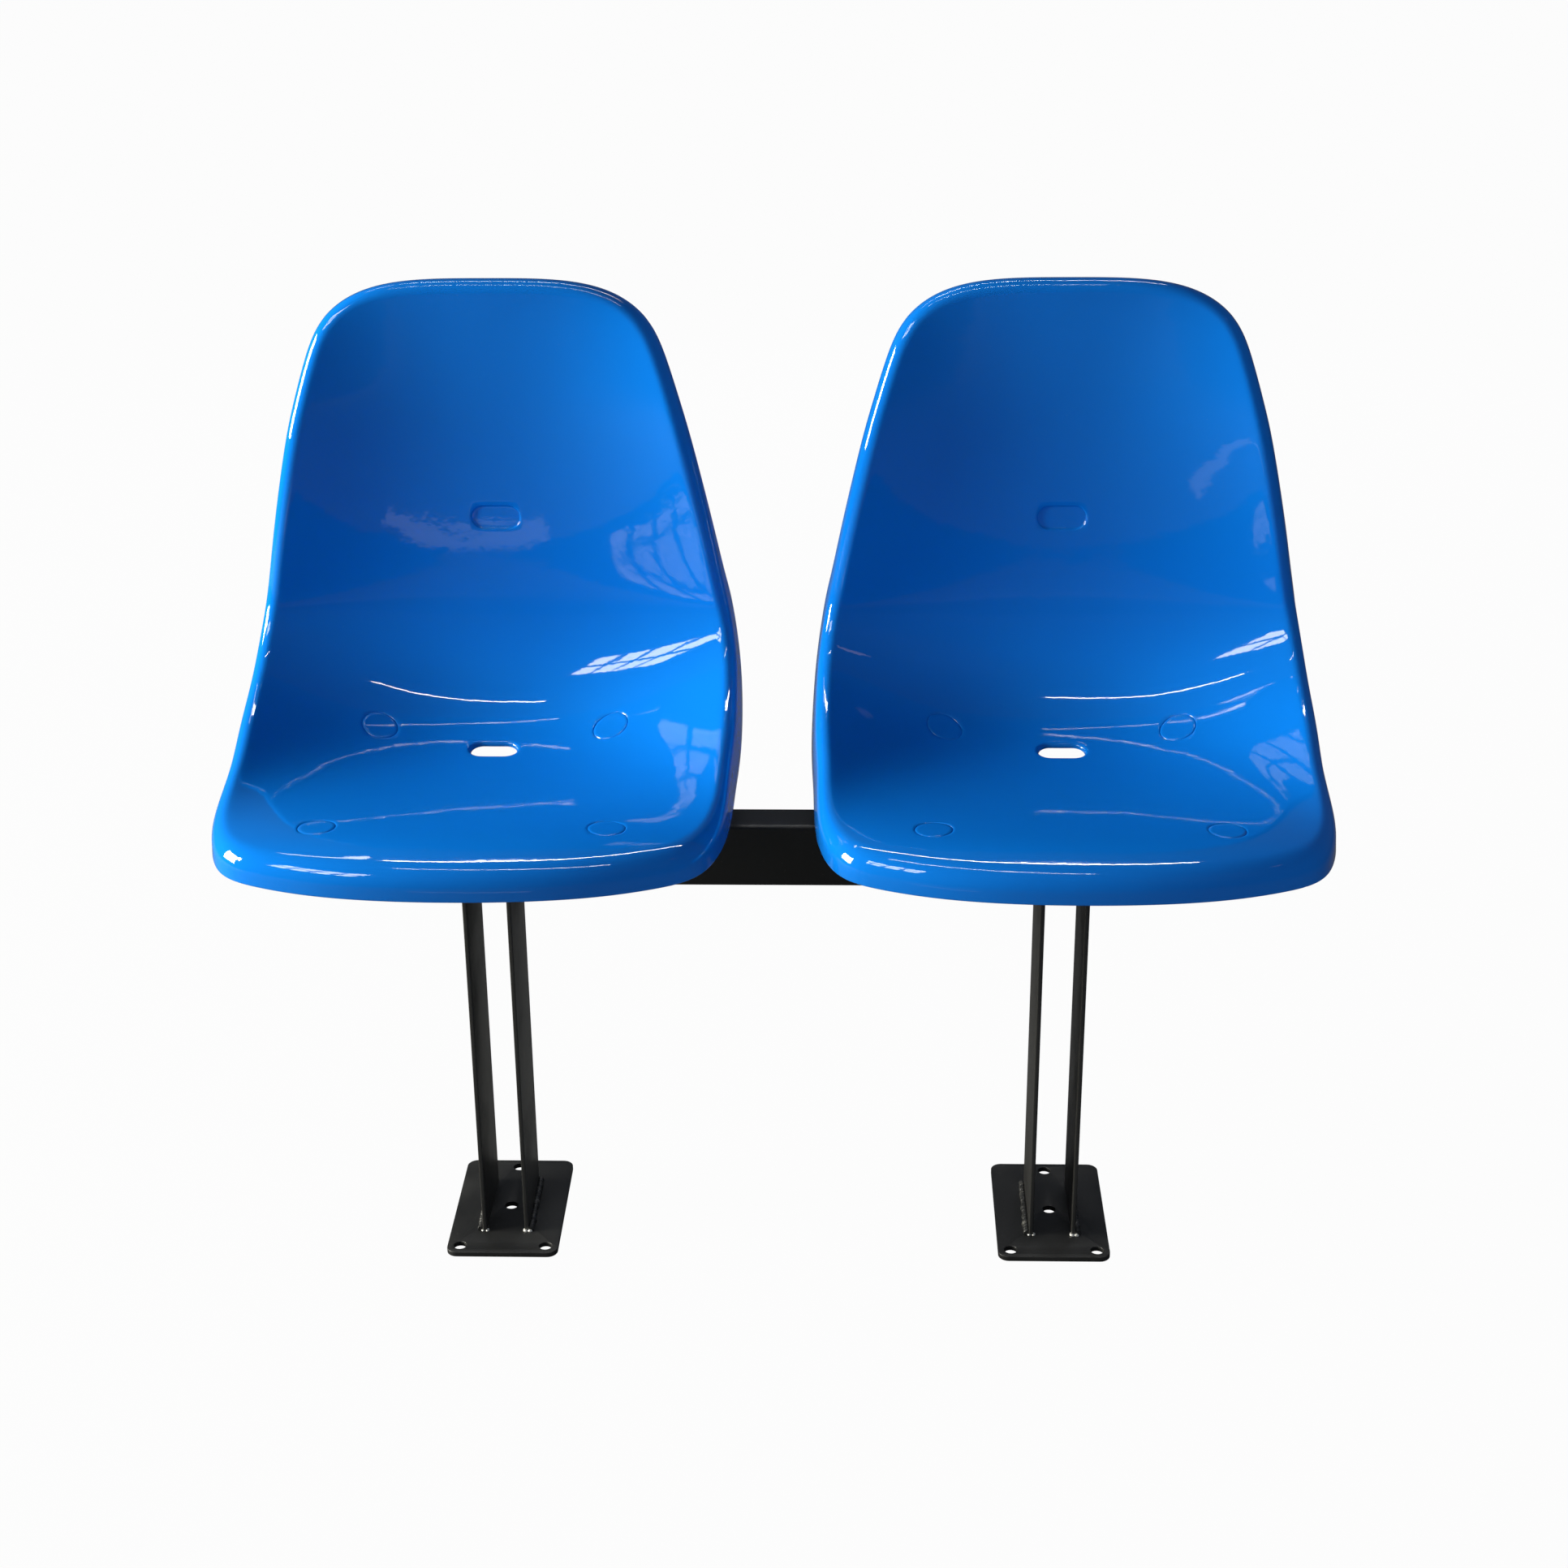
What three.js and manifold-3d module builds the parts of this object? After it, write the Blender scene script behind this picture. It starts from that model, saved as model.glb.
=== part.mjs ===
// Twin stadium seat: two glossy moulded bucket seats bolted to one steel beam on two bolted-down legs.
// Millimetres, +Z up, the sitter faces -Y. The origin lies on the floor below the middle of the footprint.
import * as THREE from "three";
import { mergeVertices } from "three/addons/utils/BufferGeometryUtils.js";
import Module from "manifold-3d";

const wasm = await Module();
wasm.setup();

// Driving sizes of the bench
const seatPitch = 520;
const boltPlaneHeight = 460;

// Driving sizes of a seat shell, from its bolting plane
const seatReach = 400;
const seatRise = 416;
const seatHalfWidth = 208;
const shellWall = 4.5;
const rimRoll = 10;
const lipRoll = 21;
const flangeDrop = 22;
const flangeFlare = THREE.MathUtils.degToRad(8);
const lipDrop = 9.5;
// The greater, the squarer the seat's four corners
const cornerPower = 6;

// Oval drain slot in the pan and the blind oval of the same family in the back
const drainLength = 42;
const drainWidth = 22;
const drainFillet = 4;
const drainPlace = 54;
const recessLength = 50;
const recessWidth = 26;
const recessDepth = 1.6;
const recessHeight = 195;

// Bosses under the pan, with a moulded-in threaded insert in each
const boltSize = 8;
const bossDiameter = 32;
const bossRib = 3.5;
const bossRoom = 40;
const frontRibLevel = 5;
const rearRibLevel = 24;
const middleRibDepth = 8;
const middleRibReach = 70;
const rearBoltSpread = 213;
const rearBoltReach = 71;
const frontBoltSpread = 245;
const frontBoltReach = 154;
const insertDiameter = 12;
const insertLength = 10.5;
const insertGroove = 0.8;
const washerDiameter = 20;
const washerThickness = 1.6;
const headAcrossShare = 1.625;
const headHeightShare = 0.66;
const fitGap = 0.3;

// Seat arms: pressed angles that lie across the beam
const armWidth = 40;
const armSteel = 4;
const armOverhang = 20;
const armTipDepth = 14;
const armHoleSlack = 0.6;
const armCorner = 6;
const armFootSpare = 12;
const armShoulder = 10;

// Beam
const beamDepth = 40;
const beamHeight = 60;
const beamWall = 2.5;
const beamCorner = 4;
const beamOverhang = 140;
const capFlange = 3;
const capPlug = 14;
const capWall = 2;

// Legs and feet
const barWidth = 90;
const barSteel = 4;
const barPitch = 40;
const barEdge = 0.8;
const plateWidth = 105;
const plateDepth = 162;
const plateSteel = 5;
const plateCorner = 10;
const plateHole = 12;
const plateHoleInset = 12;
const weldLeg = 5;
const weldCrown = 0.8;

// Finishes
const finishes = {
  plastic: { color: 0x0a62c8, roughness: 0.12, metalness: 0 },
  paint: { color: 0x17181a, roughness: 0.45, metalness: 0.1 },
  zinc: { color: 0xb4b7ba, roughness: 0.35, metalness: 1 },
  brass: { color: 0xb08d4a, roughness: 0.35, metalness: 1 },
  capPlastic: { color: 0x101112, roughness: 0.6, metalness: 0 },
};

// Mesh fineness
const panRows = 22;
const panColumns = 16;
const firstPanRow = 12;
const lastPanRow = 21;
const mouthSteps = 3;
const rollSteps = 4;
const roundSteps = 16;
const smallRoundSteps = 12;
const ovalSteps = 12;
const cornerSteps = 2;
const stationTolerance = 1e-6;
const stationStep = 0.01;

const beamTop = boltPlaneHeight - armWidth;
const beamBottom = beamTop - beamHeight;
const beamLength = seatPitch + 2 * beamOverhang;
const armSplay = Math.atan2((frontBoltSpread - rearBoltSpread) / 2, rearBoltReach + frontBoltReach);
const armMiddle = (rearBoltReach - frontBoltReach) / 2;
const overrun = shellWall;

// A closed three.js geometry becomes a solid.
function solid(geometry) {
  const bare = geometry.clone();
  bare.deleteAttribute("normal");
  bare.deleteAttribute("uv");
  const merged = mergeVertices(bare);
  return new wasm.Manifold(
    new wasm.Mesh({
      numProp: 3,
      vertProperties: merged.attributes.position.array,
      triVerts: new Uint32Array(merged.index.array),
    }),
  );
}

// A solid becomes a three.js geometry again.
function geometryOf(body) {
  const data = body.getMesh();
  const geometry = new THREE.BufferGeometry();
  geometry.setAttribute("position", new THREE.BufferAttribute(data.vertProperties, 3));
  geometry.setIndex(new THREE.BufferAttribute(data.triVerts, 1));
  geometry.computeVertexNormals();
  return geometry;
}

function part(name, geometry, finish) {
  const mesh = new THREE.Mesh(geometry, new THREE.MeshStandardMaterial(finishes[finish]));
  mesh.name = name;
  return mesh;
}

// A flat outline raised along Z from `bottom` by `height`.
function raised(outline, bottom, height) {
  const geometry = new THREE.ExtrudeGeometry(outline, {
    depth: height,
    bevelEnabled: false,
    curveSegments: cornerSteps,
  });
  return geometry.translate(0, 0, bottom);
}

// An upright round bar.
function roundBar(diameter, bottom, height, steps) {
  const geometry = new THREE.CylinderGeometry(diameter / 2, diameter / 2, height, steps);
  return geometry.rotateX(Math.PI / 2).translate(0, 0, bottom + height / 2);
}

// A round hole for a flat outline.
function roundHole(x, y, diameter) {
  const points = [];
  for (let k = 0; k < roundSteps; k++) {
    const turn = (2 * Math.PI * k) / roundSteps;
    points.push(new THREE.Vector2(x + (diameter / 2) * Math.cos(turn), y + (diameter / 2) * Math.sin(turn)));
  }
  return new THREE.Path(points);
}

function box(width, depth, height, x, y, bottom) {
  return new THREE.BoxGeometry(width, depth, height).translate(x, y, bottom + height / 2);
}

function roundedRectangle(width, height, radius) {
  const shape = new THREE.Shape();
  const a = width / 2;
  const b = height / 2;
  shape.absarc(a - radius, b - radius, radius, 0, Math.PI / 2);
  shape.absarc(radius - a, b - radius, radius, Math.PI / 2, Math.PI);
  shape.absarc(radius - a, radius - b, radius, Math.PI, 1.5 * Math.PI);
  shape.absarc(a - radius, radius - b, radius, 1.5 * Math.PI, 2 * Math.PI);
  shape.closePath();
  return shape;
}

// A solid skinned over a stack of rings that all have the same number of points.
function skinned(rings) {
  const count = rings[0].length;
  const points = rings.flat();
  const faces = [];
  for (let k = 0; k + 1 < rings.length; k++) {
    for (let i = 0; i < count; i++) {
      const j = (i + 1) % count;
      const a = k * count + i;
      const b = k * count + j;
      faces.push(a, b, b + count, a, b + count, a + count);
    }
  }
  const last = (rings.length - 1) * count;
  for (let i = 1; i + 1 < count; i++) {
    faces.push(0, i + 1, i);
    faces.push(last, last + i, last + i + 1);
  }
  const geometry = new THREE.BufferGeometry().setFromPoints(points);
  geometry.setIndex(faces);
  return geometry;
}

// The seat's form: for each station down the middle line, where that line runs and where the rim lies.
// Shares of seatReach and seatRise for middle and rim, shares of seatHalfWidth for the rim's half width,
// and how sharply the section turns up towards the rim.
const middleReachShares = [
  0.35, 0.353, 0.356, 0.359, 0.362, 0.368, 0.372, 0.362, 0.33, 0.275, 0.195, 0.09, -0.045, -0.18, -0.31, -0.42,
  -0.49, -0.54,
];
const middleRiseShares = [
  0.972, 0.93, 0.865, 0.77, 0.66, 0.47, 0.345, 0.235, 0.135, 0.064, 0.02, 0.003, 0.009, 0.025, 0.043, 0.054,
  0.052, 0.04,
];
const rimReachShares = [
  0.318, 0.31, 0.302, 0.29, 0.283, 0.288, 0.293, 0.285, 0.225, 0.13, 0.03, -0.07, -0.17, -0.26, -0.34, -0.4,
  -0.435, -0.455,
];
const rimRiseShares = [
  0.928, 0.885, 0.82, 0.735, 0.64, 0.46, 0.33, 0.26, 0.182, 0.134, 0.098, 0.072, 0.055, 0.047, 0.043, 0.04,
  0.038, 0.036,
];
const rimWidthShares = [
  0.72, 0.728, 0.745, 0.78, 0.822, 0.9, 0.948, 0.982, 1.004, 1.009, 1.008, 1.002, 1.002, 0.996, 0.98, 0.96,
  0.945, 0.93,
];
const turnUpPowers = [3.4, 3, 2.7, 2.4, 2.3, 2.2, 2.2, 2.2, 2.2, 2.2, 2.2, 2.2, 2.2, 2.2, 2.3, 2.2, 2.1, 2.1];
const flangeDropShares = [
  0.3, 0.3, 0.3, 0.3, 0.32, 0.4, 0.6, 0.9, 1.25, 1.35, 1.3, 1.2, 1.05, 0.9, 0.8, 0.72, 0.65, 0.6,
];
// The last share of the middle line, over which the side's rim grows into the fuller front lip.
const lipBlendShare = 0.36;

// A curve of even bend through the entries of a table, for t from 0 to 1.
function between(table, t) {
  const last = table.length - 1;
  const bent = (i) => table[i] - (table[i - 1] - 2 * table[i] + table[i + 1]) / 6;
  const pull = (i) => {
    if (i < 0) return 2 * table[0] - bent(1);
    if (i > last) return 2 * table[last] - bent(last - 1);
    return i === 0 || i === last ? table[i] : bent(i);
  };
  const place = t * last;
  const k = Math.min(Math.floor(place), last - 1);
  const f = place - k;
  const f2 = f * f;
  const f3 = f2 * f;
  const weights = [(1 - f) ** 3, 3 * f3 - 6 * f2 + 4, 1 + 3 * f + 3 * f2 - 3 * f3, f3];
  return weights.reduce((sum, weight, n) => sum + weight * pull(k - 1 + n), 0) / 6;
}

// A point of the sitting face: t runs from the top of the back to the front lip, u from side to side.
function sittingPoint(t, u) {
  const turnUp = Math.abs(u) ** between(turnUpPowers, t);
  const middleY = between(middleReachShares, t) * seatReach;
  const middleZ = between(middleRiseShares, t) * seatRise;
  const rimY = between(rimReachShares, t) * seatReach;
  const rimZ = between(rimRiseShares, t) * seatRise;
  return new THREE.Vector3(
    u * between(rimWidthShares, t) * seatHalfWidth,
    middleY + (rimY - middleY) * turnUp,
    middleZ + (rimZ - middleZ) * turnUp,
  );
}

// The place t and u of one crossing of the net. The net's four corners are drawn in, so that its edge is round.
function netPlace(i, j) {
  const down = (2 * i) / panRows - 1;
  const across = (2 * j) / panColumns - 1;
  const far = Math.max(Math.abs(down), Math.abs(across));
  const round = (Math.abs(down) ** cornerPower + Math.abs(across) ** cornerPower) ** (1 / cornerPower);
  const drawn = far > 0 ? 1 + (far / round - 1) * far ** 4 : 1;
  return { t: (1 + down * drawn) / 2, u: across * drawn };
}

// The rim in order round the seat: across the top, down one side, back along the lip and up the other side.
function rimStations() {
  const stations = [];
  for (let j = 0; j < panColumns; j++) stations.push([0, j]);
  for (let i = 0; i < panRows; i++) stations.push([i, panColumns]);
  for (let j = panColumns; j > 0; j--) stations.push([panRows, j]);
  for (let i = panRows; i > 0; i--) stations.push([i, 0]);
  return stations;
}

// How the rim rolls over at one place: outwards first, then back or down, into a short flange.
function rimRings(grid) {
  const stations = rimStations();
  const rings = [];
  for (let k = 0; k <= rollSteps; k++) rings.push([]);
  stations.forEach(([i, j], n) => {
    const here = grid[i][j];
    const before = stations[(n + stations.length - 1) % stations.length];
    const after = stations[(n + 1) % stations.length];
    const along = grid[after[0]][after[1]].clone().sub(grid[before[0]][before[1]]).normalize();
    const inside = grid[THREE.MathUtils.clamp(i, 1, panRows - 1)][THREE.MathUtils.clamp(j, 1, panColumns - 1)];
    const outwards = here.clone().sub(inside);
    outwards.addScaledVector(along, -outwards.dot(along)).normalize();
    const { t } = netPlace(i, j);
    const lip = THREE.MathUtils.smoothstep(t, 1 - lipBlendShare, 1);
    const back = flangeWay(t, lip);
    back.addScaledVector(outwards, Math.sin(flangeFlare) * (1 - lip)).normalize();
    const roll = rimRoll + (lipRoll - rimRoll) * lip;
    const drop = THREE.MathUtils.lerp(flangeDrop * between(flangeDropShares, t), lipDrop, lip);
    const over = back.clone().addScaledVector(outwards, -back.dot(outwards)).normalize();
    const angle = outwards.angleTo(back);
    for (let k = 1; k <= rollSteps; k++) {
      const turn = (angle * k) / rollSteps;
      const point = here.clone().addScaledVector(outwards, roll * Math.sin(turn));
      rings[k - 1].push(point.addScaledVector(over, roll * (1 - Math.cos(turn))));
    }
    rings[rollSteps].push(rings[rollSteps - 1][n].clone().addScaledVector(back, drop));
  });
  return rings;
}

// The way that the flange points: square to the rim line seen from the side, and straight down at the lip.
function flangeWay(t, lip) {
  const before = Math.max(t - stationStep, 0);
  const after = Math.min(t + stationStep, 1);
  const forwards = (between(rimReachShares, before) - between(rimReachShares, after)) * seatReach;
  const downwards = (between(rimRiseShares, before) - between(rimRiseShares, after)) * seatRise;
  const down = new THREE.Vector3(0, 0, -1);
  return new THREE.Vector3(0, downwards, -forwards).normalize().lerp(down, lip).normalize();
}

// The bare shell: sitting face, rolled rim and flange, given their wall.
function bareShell() {
  const grid = [];
  for (let i = 0; i <= panRows; i++) {
    grid.push([]);
    for (let j = 0; j <= panColumns; j++) {
      const { t, u } = netPlace(i, j);
      grid[i].push(sittingPoint(t, u));
    }
  }
  const points = grid.flat();
  const number = (i, j) => i * (panColumns + 1) + j;
  const faces = [];
  for (let i = 0; i < panRows; i++) {
    for (let j = 0; j < panColumns; j++) {
      const a = number(i, j);
      const b = number(i, j + 1);
      const c = number(i + 1, j + 1);
      const d = number(i + 1, j);
      if ((i < panRows / 2) === (j < panColumns / 2)) faces.push(a, d, b, b, d, c);
      else faces.push(a, d, c, a, c, b);
    }
  }
  let edge = rimStations().map(([i, j]) => number(i, j));
  for (const ring of rimRings(grid)) {
    const first = points.length;
    points.push(...ring);
    const next = ring.map((_, n) => first + n);
    for (let n = 0; n < ring.length; n++) {
      const m = (n + 1) % ring.length;
      faces.push(edge[n], edge[m], next[m], edge[n], next[m], next[n]);
    }
    edge = next;
  }
  return thickened(points, faces, edge);
}

// A sheet of faces becomes a closed shell of even wall below it.
function thickened(points, faces, edge) {
  const sheet = new THREE.BufferGeometry().setFromPoints(points);
  sheet.setIndex(faces);
  sheet.computeVertexNormals();
  const normals = sheet.attributes.normal;
  const count = points.length;
  const under = points.map((p, n) =>
    p.clone().addScaledVector(new THREE.Vector3().fromBufferAttribute(normals, n), -shellWall),
  );
  const all = [...faces];
  for (let k = 0; k < faces.length; k += 3) {
    all.push(faces[k] + count, faces[k + 2] + count, faces[k + 1] + count);
  }
  for (let n = 0; n < edge.length; n++) {
    const m = (n + 1) % edge.length;
    all.push(edge[n], edge[m], edge[m] + count, edge[n], edge[m] + count, edge[n] + count);
  }
  const geometry = new THREE.BufferGeometry().setFromPoints([...points, ...under]);
  geometry.setIndex(all);
  return solid(geometry);
}

const drainStation = stationWhere(middleReachShares, drainPlace / seatReach, 0.45, 0.9);
const recessStation = stationWhere(middleRiseShares, recessHeight / seatRise, 0, 0.45);

// The place on the middle line where a table reaches a wanted share, looked for between two stations.
function stationWhere(table, share, from, to) {
  let low = from;
  let high = to;
  const falls = between(table, from) > between(table, to);
  while (high - low > stationTolerance) {
    const middle = (low + high) / 2;
    if (between(table, middle) > share === falls) low = middle;
    else high = middle;
  }
  return (low + high) / 2;
}

// The turn and place that lay a tool drawn flat in XY on the sitting face at station t, its +Z towards the sitter.
function onSittingFace(t) {
  const here = sittingPoint(t, 0);
  const along = sittingPoint(t - stationStep, 0).sub(sittingPoint(t + stationStep, 0)).normalize();
  const across = new THREE.Vector3(1, 0, 0);
  return new THREE.Matrix4().makeBasis(across, along, across.clone().cross(along)).setPosition(here);
}

// A long oval, as points in a ring at one level.
function ovalRing(length, width, level) {
  const radius = width / 2;
  const run = length / 2 - radius;
  const ring = [];
  for (const side of [1, -1]) {
    for (let k = 0; k <= ovalSteps; k++) {
      const turn = (Math.PI * k) / ovalSteps - Math.PI / 2;
      ring.push(new THREE.Vector3(side * (run + radius * Math.cos(turn)), side * radius * Math.sin(turn), level));
    }
  }
  return ring;
}

// The tool that cuts the drain slot through the pan, with a round-over at its mouth.
function drainTool() {
  const rings = [ovalRing(drainLength, drainWidth, -3 * shellWall)];
  for (let k = 0; k <= mouthSteps; k++) {
    const turn = (Math.PI * k) / (2 * mouthSteps);
    const grown = 2 * drainFillet * (1 - Math.cos(turn));
    rings.push(ovalRing(drainLength + grown, drainWidth + grown, drainFillet * (Math.sin(turn) - 1)));
  }
  const mouth = 2 * drainFillet;
  rings.push(ovalRing(drainLength + mouth, drainWidth + mouth, shellWall));
  return solid(skinned(rings).applyMatrix4(onSittingFace(drainStation)));
}

// The tool that sinks the blind oval into the back, narrower at its floor.
function recessTool() {
  const floor = ovalRing(recessLength - recessDepth, recessWidth - recessDepth, -recessDepth);
  const mouth = ovalRing(recessLength + recessDepth, recessWidth + recessDepth, recessDepth);
  return solid(skinned([floor, mouth]).applyMatrix4(onSittingFace(recessStation)));
}

// All the room under the middle of the pan's wall, which trims the bosses and ribs to the pan's underside.
function underPan() {
  const top = [];
  const rows = lastPanRow - firstPanRow;
  for (let i = firstPanRow; i <= lastPanRow; i++) {
    for (let j = 1; j < panColumns; j++) {
      const point = sittingPoint(i / panRows, (2 * j) / panColumns - 1);
      top.push(point.setZ(point.z - shellWall / 2));
    }
  }
  const count = top.length;
  const bottom = top.map((p) => new THREE.Vector3(p.x, p.y, -2 * bossRoom));
  const columns = panColumns - 1;
  const faces = [];
  for (let i = 0; i < rows; i++) {
    for (let j = 0; j + 1 < columns; j++) {
      const a = i * columns + j;
      const b = a + 1;
      const c = b + columns;
      const d = a + columns;
      faces.push(a, d, c, a, c, b);
      faces.push(a + count, c + count, d + count, a + count, b + count, c + count);
    }
  }
  const rim = [];
  for (let j = 0; j + 1 < columns; j++) rim.push(j);
  for (let i = 0; i < rows; i++) rim.push(i * columns + columns - 1);
  for (let j = columns - 1; j > 0; j--) rim.push(rows * columns + j);
  for (let i = rows; i > 0; i--) rim.push(i * columns);
  rim.forEach((a, n) => {
    const b = rim[(n + 1) % rim.length];
    faces.push(a, b, b + count, a, b + count, a + count);
  });
  const geometry = new THREE.BufferGeometry().setFromPoints([...top, ...bottom]);
  geometry.setIndex(faces);
  return solid(geometry);
}

// The four bolt places of a seat, with the names of their row and side.
function boltPlaces() {
  const places = [];
  for (const side of [-1, 1]) {
    const sideName = side < 0 ? "left" : "right";
    places.push({ name: `front_${sideName}`, side, x: (side * frontBoltSpread) / 2, y: -frontBoltReach });
    places.push({ name: `rear_${sideName}`, side, x: (side * rearBoltSpread) / 2, y: rearBoltReach });
  }
  return places;
}

// Bosses and ribs as tall bars, still to be trimmed to the pan.
function bossesAndRibs() {
  let body = solid(box(frontBoltSpread, bossRib, 2 * bossRoom, 0, -frontBoltReach, frontRibLevel));
  const middleRib = box(rearBoltSpread - bossDiameter, bossRib, 2 * bossRoom, 0, -middleRibReach, -middleRibDepth);
  body = body.add(solid(middleRib));
  for (const { x, y, side } of boltPlaces()) {
    body = body.add(solid(roundBar(bossDiameter, 0, 2 * bossRoom, roundSteps).translate(x, y, 0)));
    const outer = side * (seatHalfWidth - rimRoll);
    const level = y < 0 ? frontRibLevel : rearRibLevel;
    body = body.add(solid(box(Math.abs(outer - x), bossRib, 2 * bossRoom, (outer + x) / 2, y, level)));
  }
  return body;
}

// The finished seat shell, in the seat's own frame with the bolting plane at zero.
function seatShell() {
  let shell = bareShell().add(bossesAndRibs().intersect(underPan()));
  shell = shell.subtract(drainTool()).subtract(recessTool());
  for (const { x, y } of boltPlaces()) {
    const depth = insertLength + fitGap;
    const hole = roundBar(insertDiameter + 2 * fitGap, -overrun, overrun + depth, smallRoundSteps);
    shell = shell.subtract(solid(hole.translate(x, y, 0)));
  }
  return geometryOf(shell);
}

// A turned piece from a closed outline of [radius, height] pairs.
function turned(outline) {
  const points = [...outline, outline[0]].map(([radius, height]) => new THREE.Vector2(radius, height));
  return new THREE.LatheGeometry(points, smallRoundSteps).rotateX(Math.PI / 2);
}

// Threaded insert: a sleeve with one groove round it, moulded into the boss.
function insert() {
  const bore = boltSize / 2 + fitGap;
  const outer = insertDiameter / 2;
  const third = insertLength / 3;
  return turned([
    [bore, 0],
    [outer, 0],
    [outer, third],
    [outer - insertGroove, third + insertGroove],
    [outer - insertGroove, 2 * third - insertGroove],
    [outer, 2 * third],
    [outer, insertLength],
    [bore, insertLength],
  ]);
}

function washer() {
  const bore = boltSize / 2 + fitGap;
  const top = -armSteel;
  return turned([
    [bore, top - washerThickness],
    [washerDiameter / 2, top - washerThickness],
    [washerDiameter / 2, top],
    [bore, top],
  ]);
}

// Hexagon bolt from below: head under the washer, shank up into the insert.
function bolt() {
  const seatLevel = -armSteel - washerThickness;
  const headHeight = boltSize * headHeightShare;
  const headCorners = (boltSize * headAcrossShare) / Math.cos(Math.PI / 6);
  const head = roundBar(headCorners, seatLevel - headHeight, headHeight, 6);
  const tip = insertLength - fitGap;
  const shank = roundBar(boltSize, seatLevel - fitGap, tip - seatLevel + fitGap, smallRoundSteps);
  return geometryOf(solid(head).add(solid(shank)));
}

// Seat arm: a pressed angle. The seat bolts to its flat flange, its tapered web stands on the beam.
function seatArm(side) {
  const reach = Math.hypot(rearBoltReach + frontBoltReach, (frontBoltSpread - rearBoltSpread) / 2);
  const length = reach + 2 * armOverhang;
  const flange = roundedRectangle(armWidth, length, armCorner);
  for (const end of [-1, 1]) flange.holes.push(roundHole(0, (end * reach) / 2, boltSize + 2 * armHoleSlack));
  const foot = beamDepth / 2 + armFootSpare;
  const web = new THREE.Shape();
  web.moveTo(armCorner - length / 2, -armSteel / 2);
  web.lineTo(armCorner - length / 2, -armTipDepth);
  web.lineTo(-armMiddle - foot - armShoulder, -armWidth + armShoulder / 2);
  web.lineTo(-armMiddle - foot, -armWidth);
  web.lineTo(-armMiddle + foot, -armWidth);
  web.lineTo(length / 2 - armCorner, -armTipDepth);
  web.lineTo(length / 2 - armCorner, -armSteel / 2);
  web.closePath();
  const plate = solid(raised(flange, -armSteel, armSteel));
  const wall = solid(alongX(web, armSteel).translate(-side * ((armWidth - armSteel) / 2), 0, 0));
  return geometryOf(plate.add(wall));
}

// Turns a flat outline into a bar along X, centred: outline x becomes Y, outline y becomes Z.
function alongX(outline, length) {
  const turn = new THREE.Matrix4().makeBasis(
    new THREE.Vector3(0, 1, 0),
    new THREE.Vector3(0, 0, 1),
    new THREE.Vector3(1, 0, 0),
  );
  return raised(outline, -length / 2, length).applyMatrix4(turn);
}

// The same along Y: outline x stays, outline y becomes Z.
function alongY(outline, length) {
  return raised(outline, -length / 2, length).rotateX(Math.PI / 2);
}

function beamTube() {
  const outline = roundedRectangle(beamDepth, beamHeight, beamCorner);
  outline.holes.push(roundedRectangle(beamDepth - 2 * beamWall, beamHeight - 2 * beamWall, beamCorner - beamWall));
  return alongX(outline, beamLength);
}

// Push-in end cap: a flange the size of the beam with a hollow plug inside it. Its plug points along +X.
function beamCap() {
  const flange = solid(alongX(roundedRectangle(beamDepth, beamHeight, beamCorner), capFlange));
  const shrink = 2 * (beamWall + fitGap);
  const plug = roundedRectangle(beamDepth - shrink, beamHeight - shrink, beamCorner - beamWall);
  const hollow = shrink + 2 * capWall;
  plug.holes.push(roundedRectangle(beamDepth - hollow, beamHeight - hollow, beamCorner - beamWall));
  const shift = (capPlug + capFlange) / 2 - overrun / 2;
  const socket = solid(alongX(plug, capPlug + overrun).translate(shift, 0, 0));
  return geometryOf(flange.add(socket.subtract(flange)));
}

function legBar() {
  return raised(roundedRectangle(barSteel, barWidth, barEdge), plateSteel, beamBottom - plateSteel);
}

// Foot plate with two holes in front, one in the middle and one behind.
function footPlate() {
  const outline = roundedRectangle(plateWidth, plateDepth, plateCorner);
  const x = plateWidth / 2 - plateHoleInset;
  const y = plateDepth / 2 - plateHoleInset;
  for (const place of [[-x, -y], [x, -y], [0, 0], [0, y]]) outline.holes.push(roundHole(...place, plateHole));
  return raised(outline, 0, plateSteel);
}

// A fillet weld along Y in the corner between a wall on its -X side and a floor below it.
function filletWeld(length) {
  const bead = new THREE.Shape();
  bead.moveTo(0, 0);
  bead.lineTo(weldLeg, 0);
  bead.quadraticCurveTo(weldLeg / 2 + weldCrown, weldLeg / 2 + weldCrown, 0, weldLeg);
  bead.closePath();
  return alongY(bead, length);
}

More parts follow.
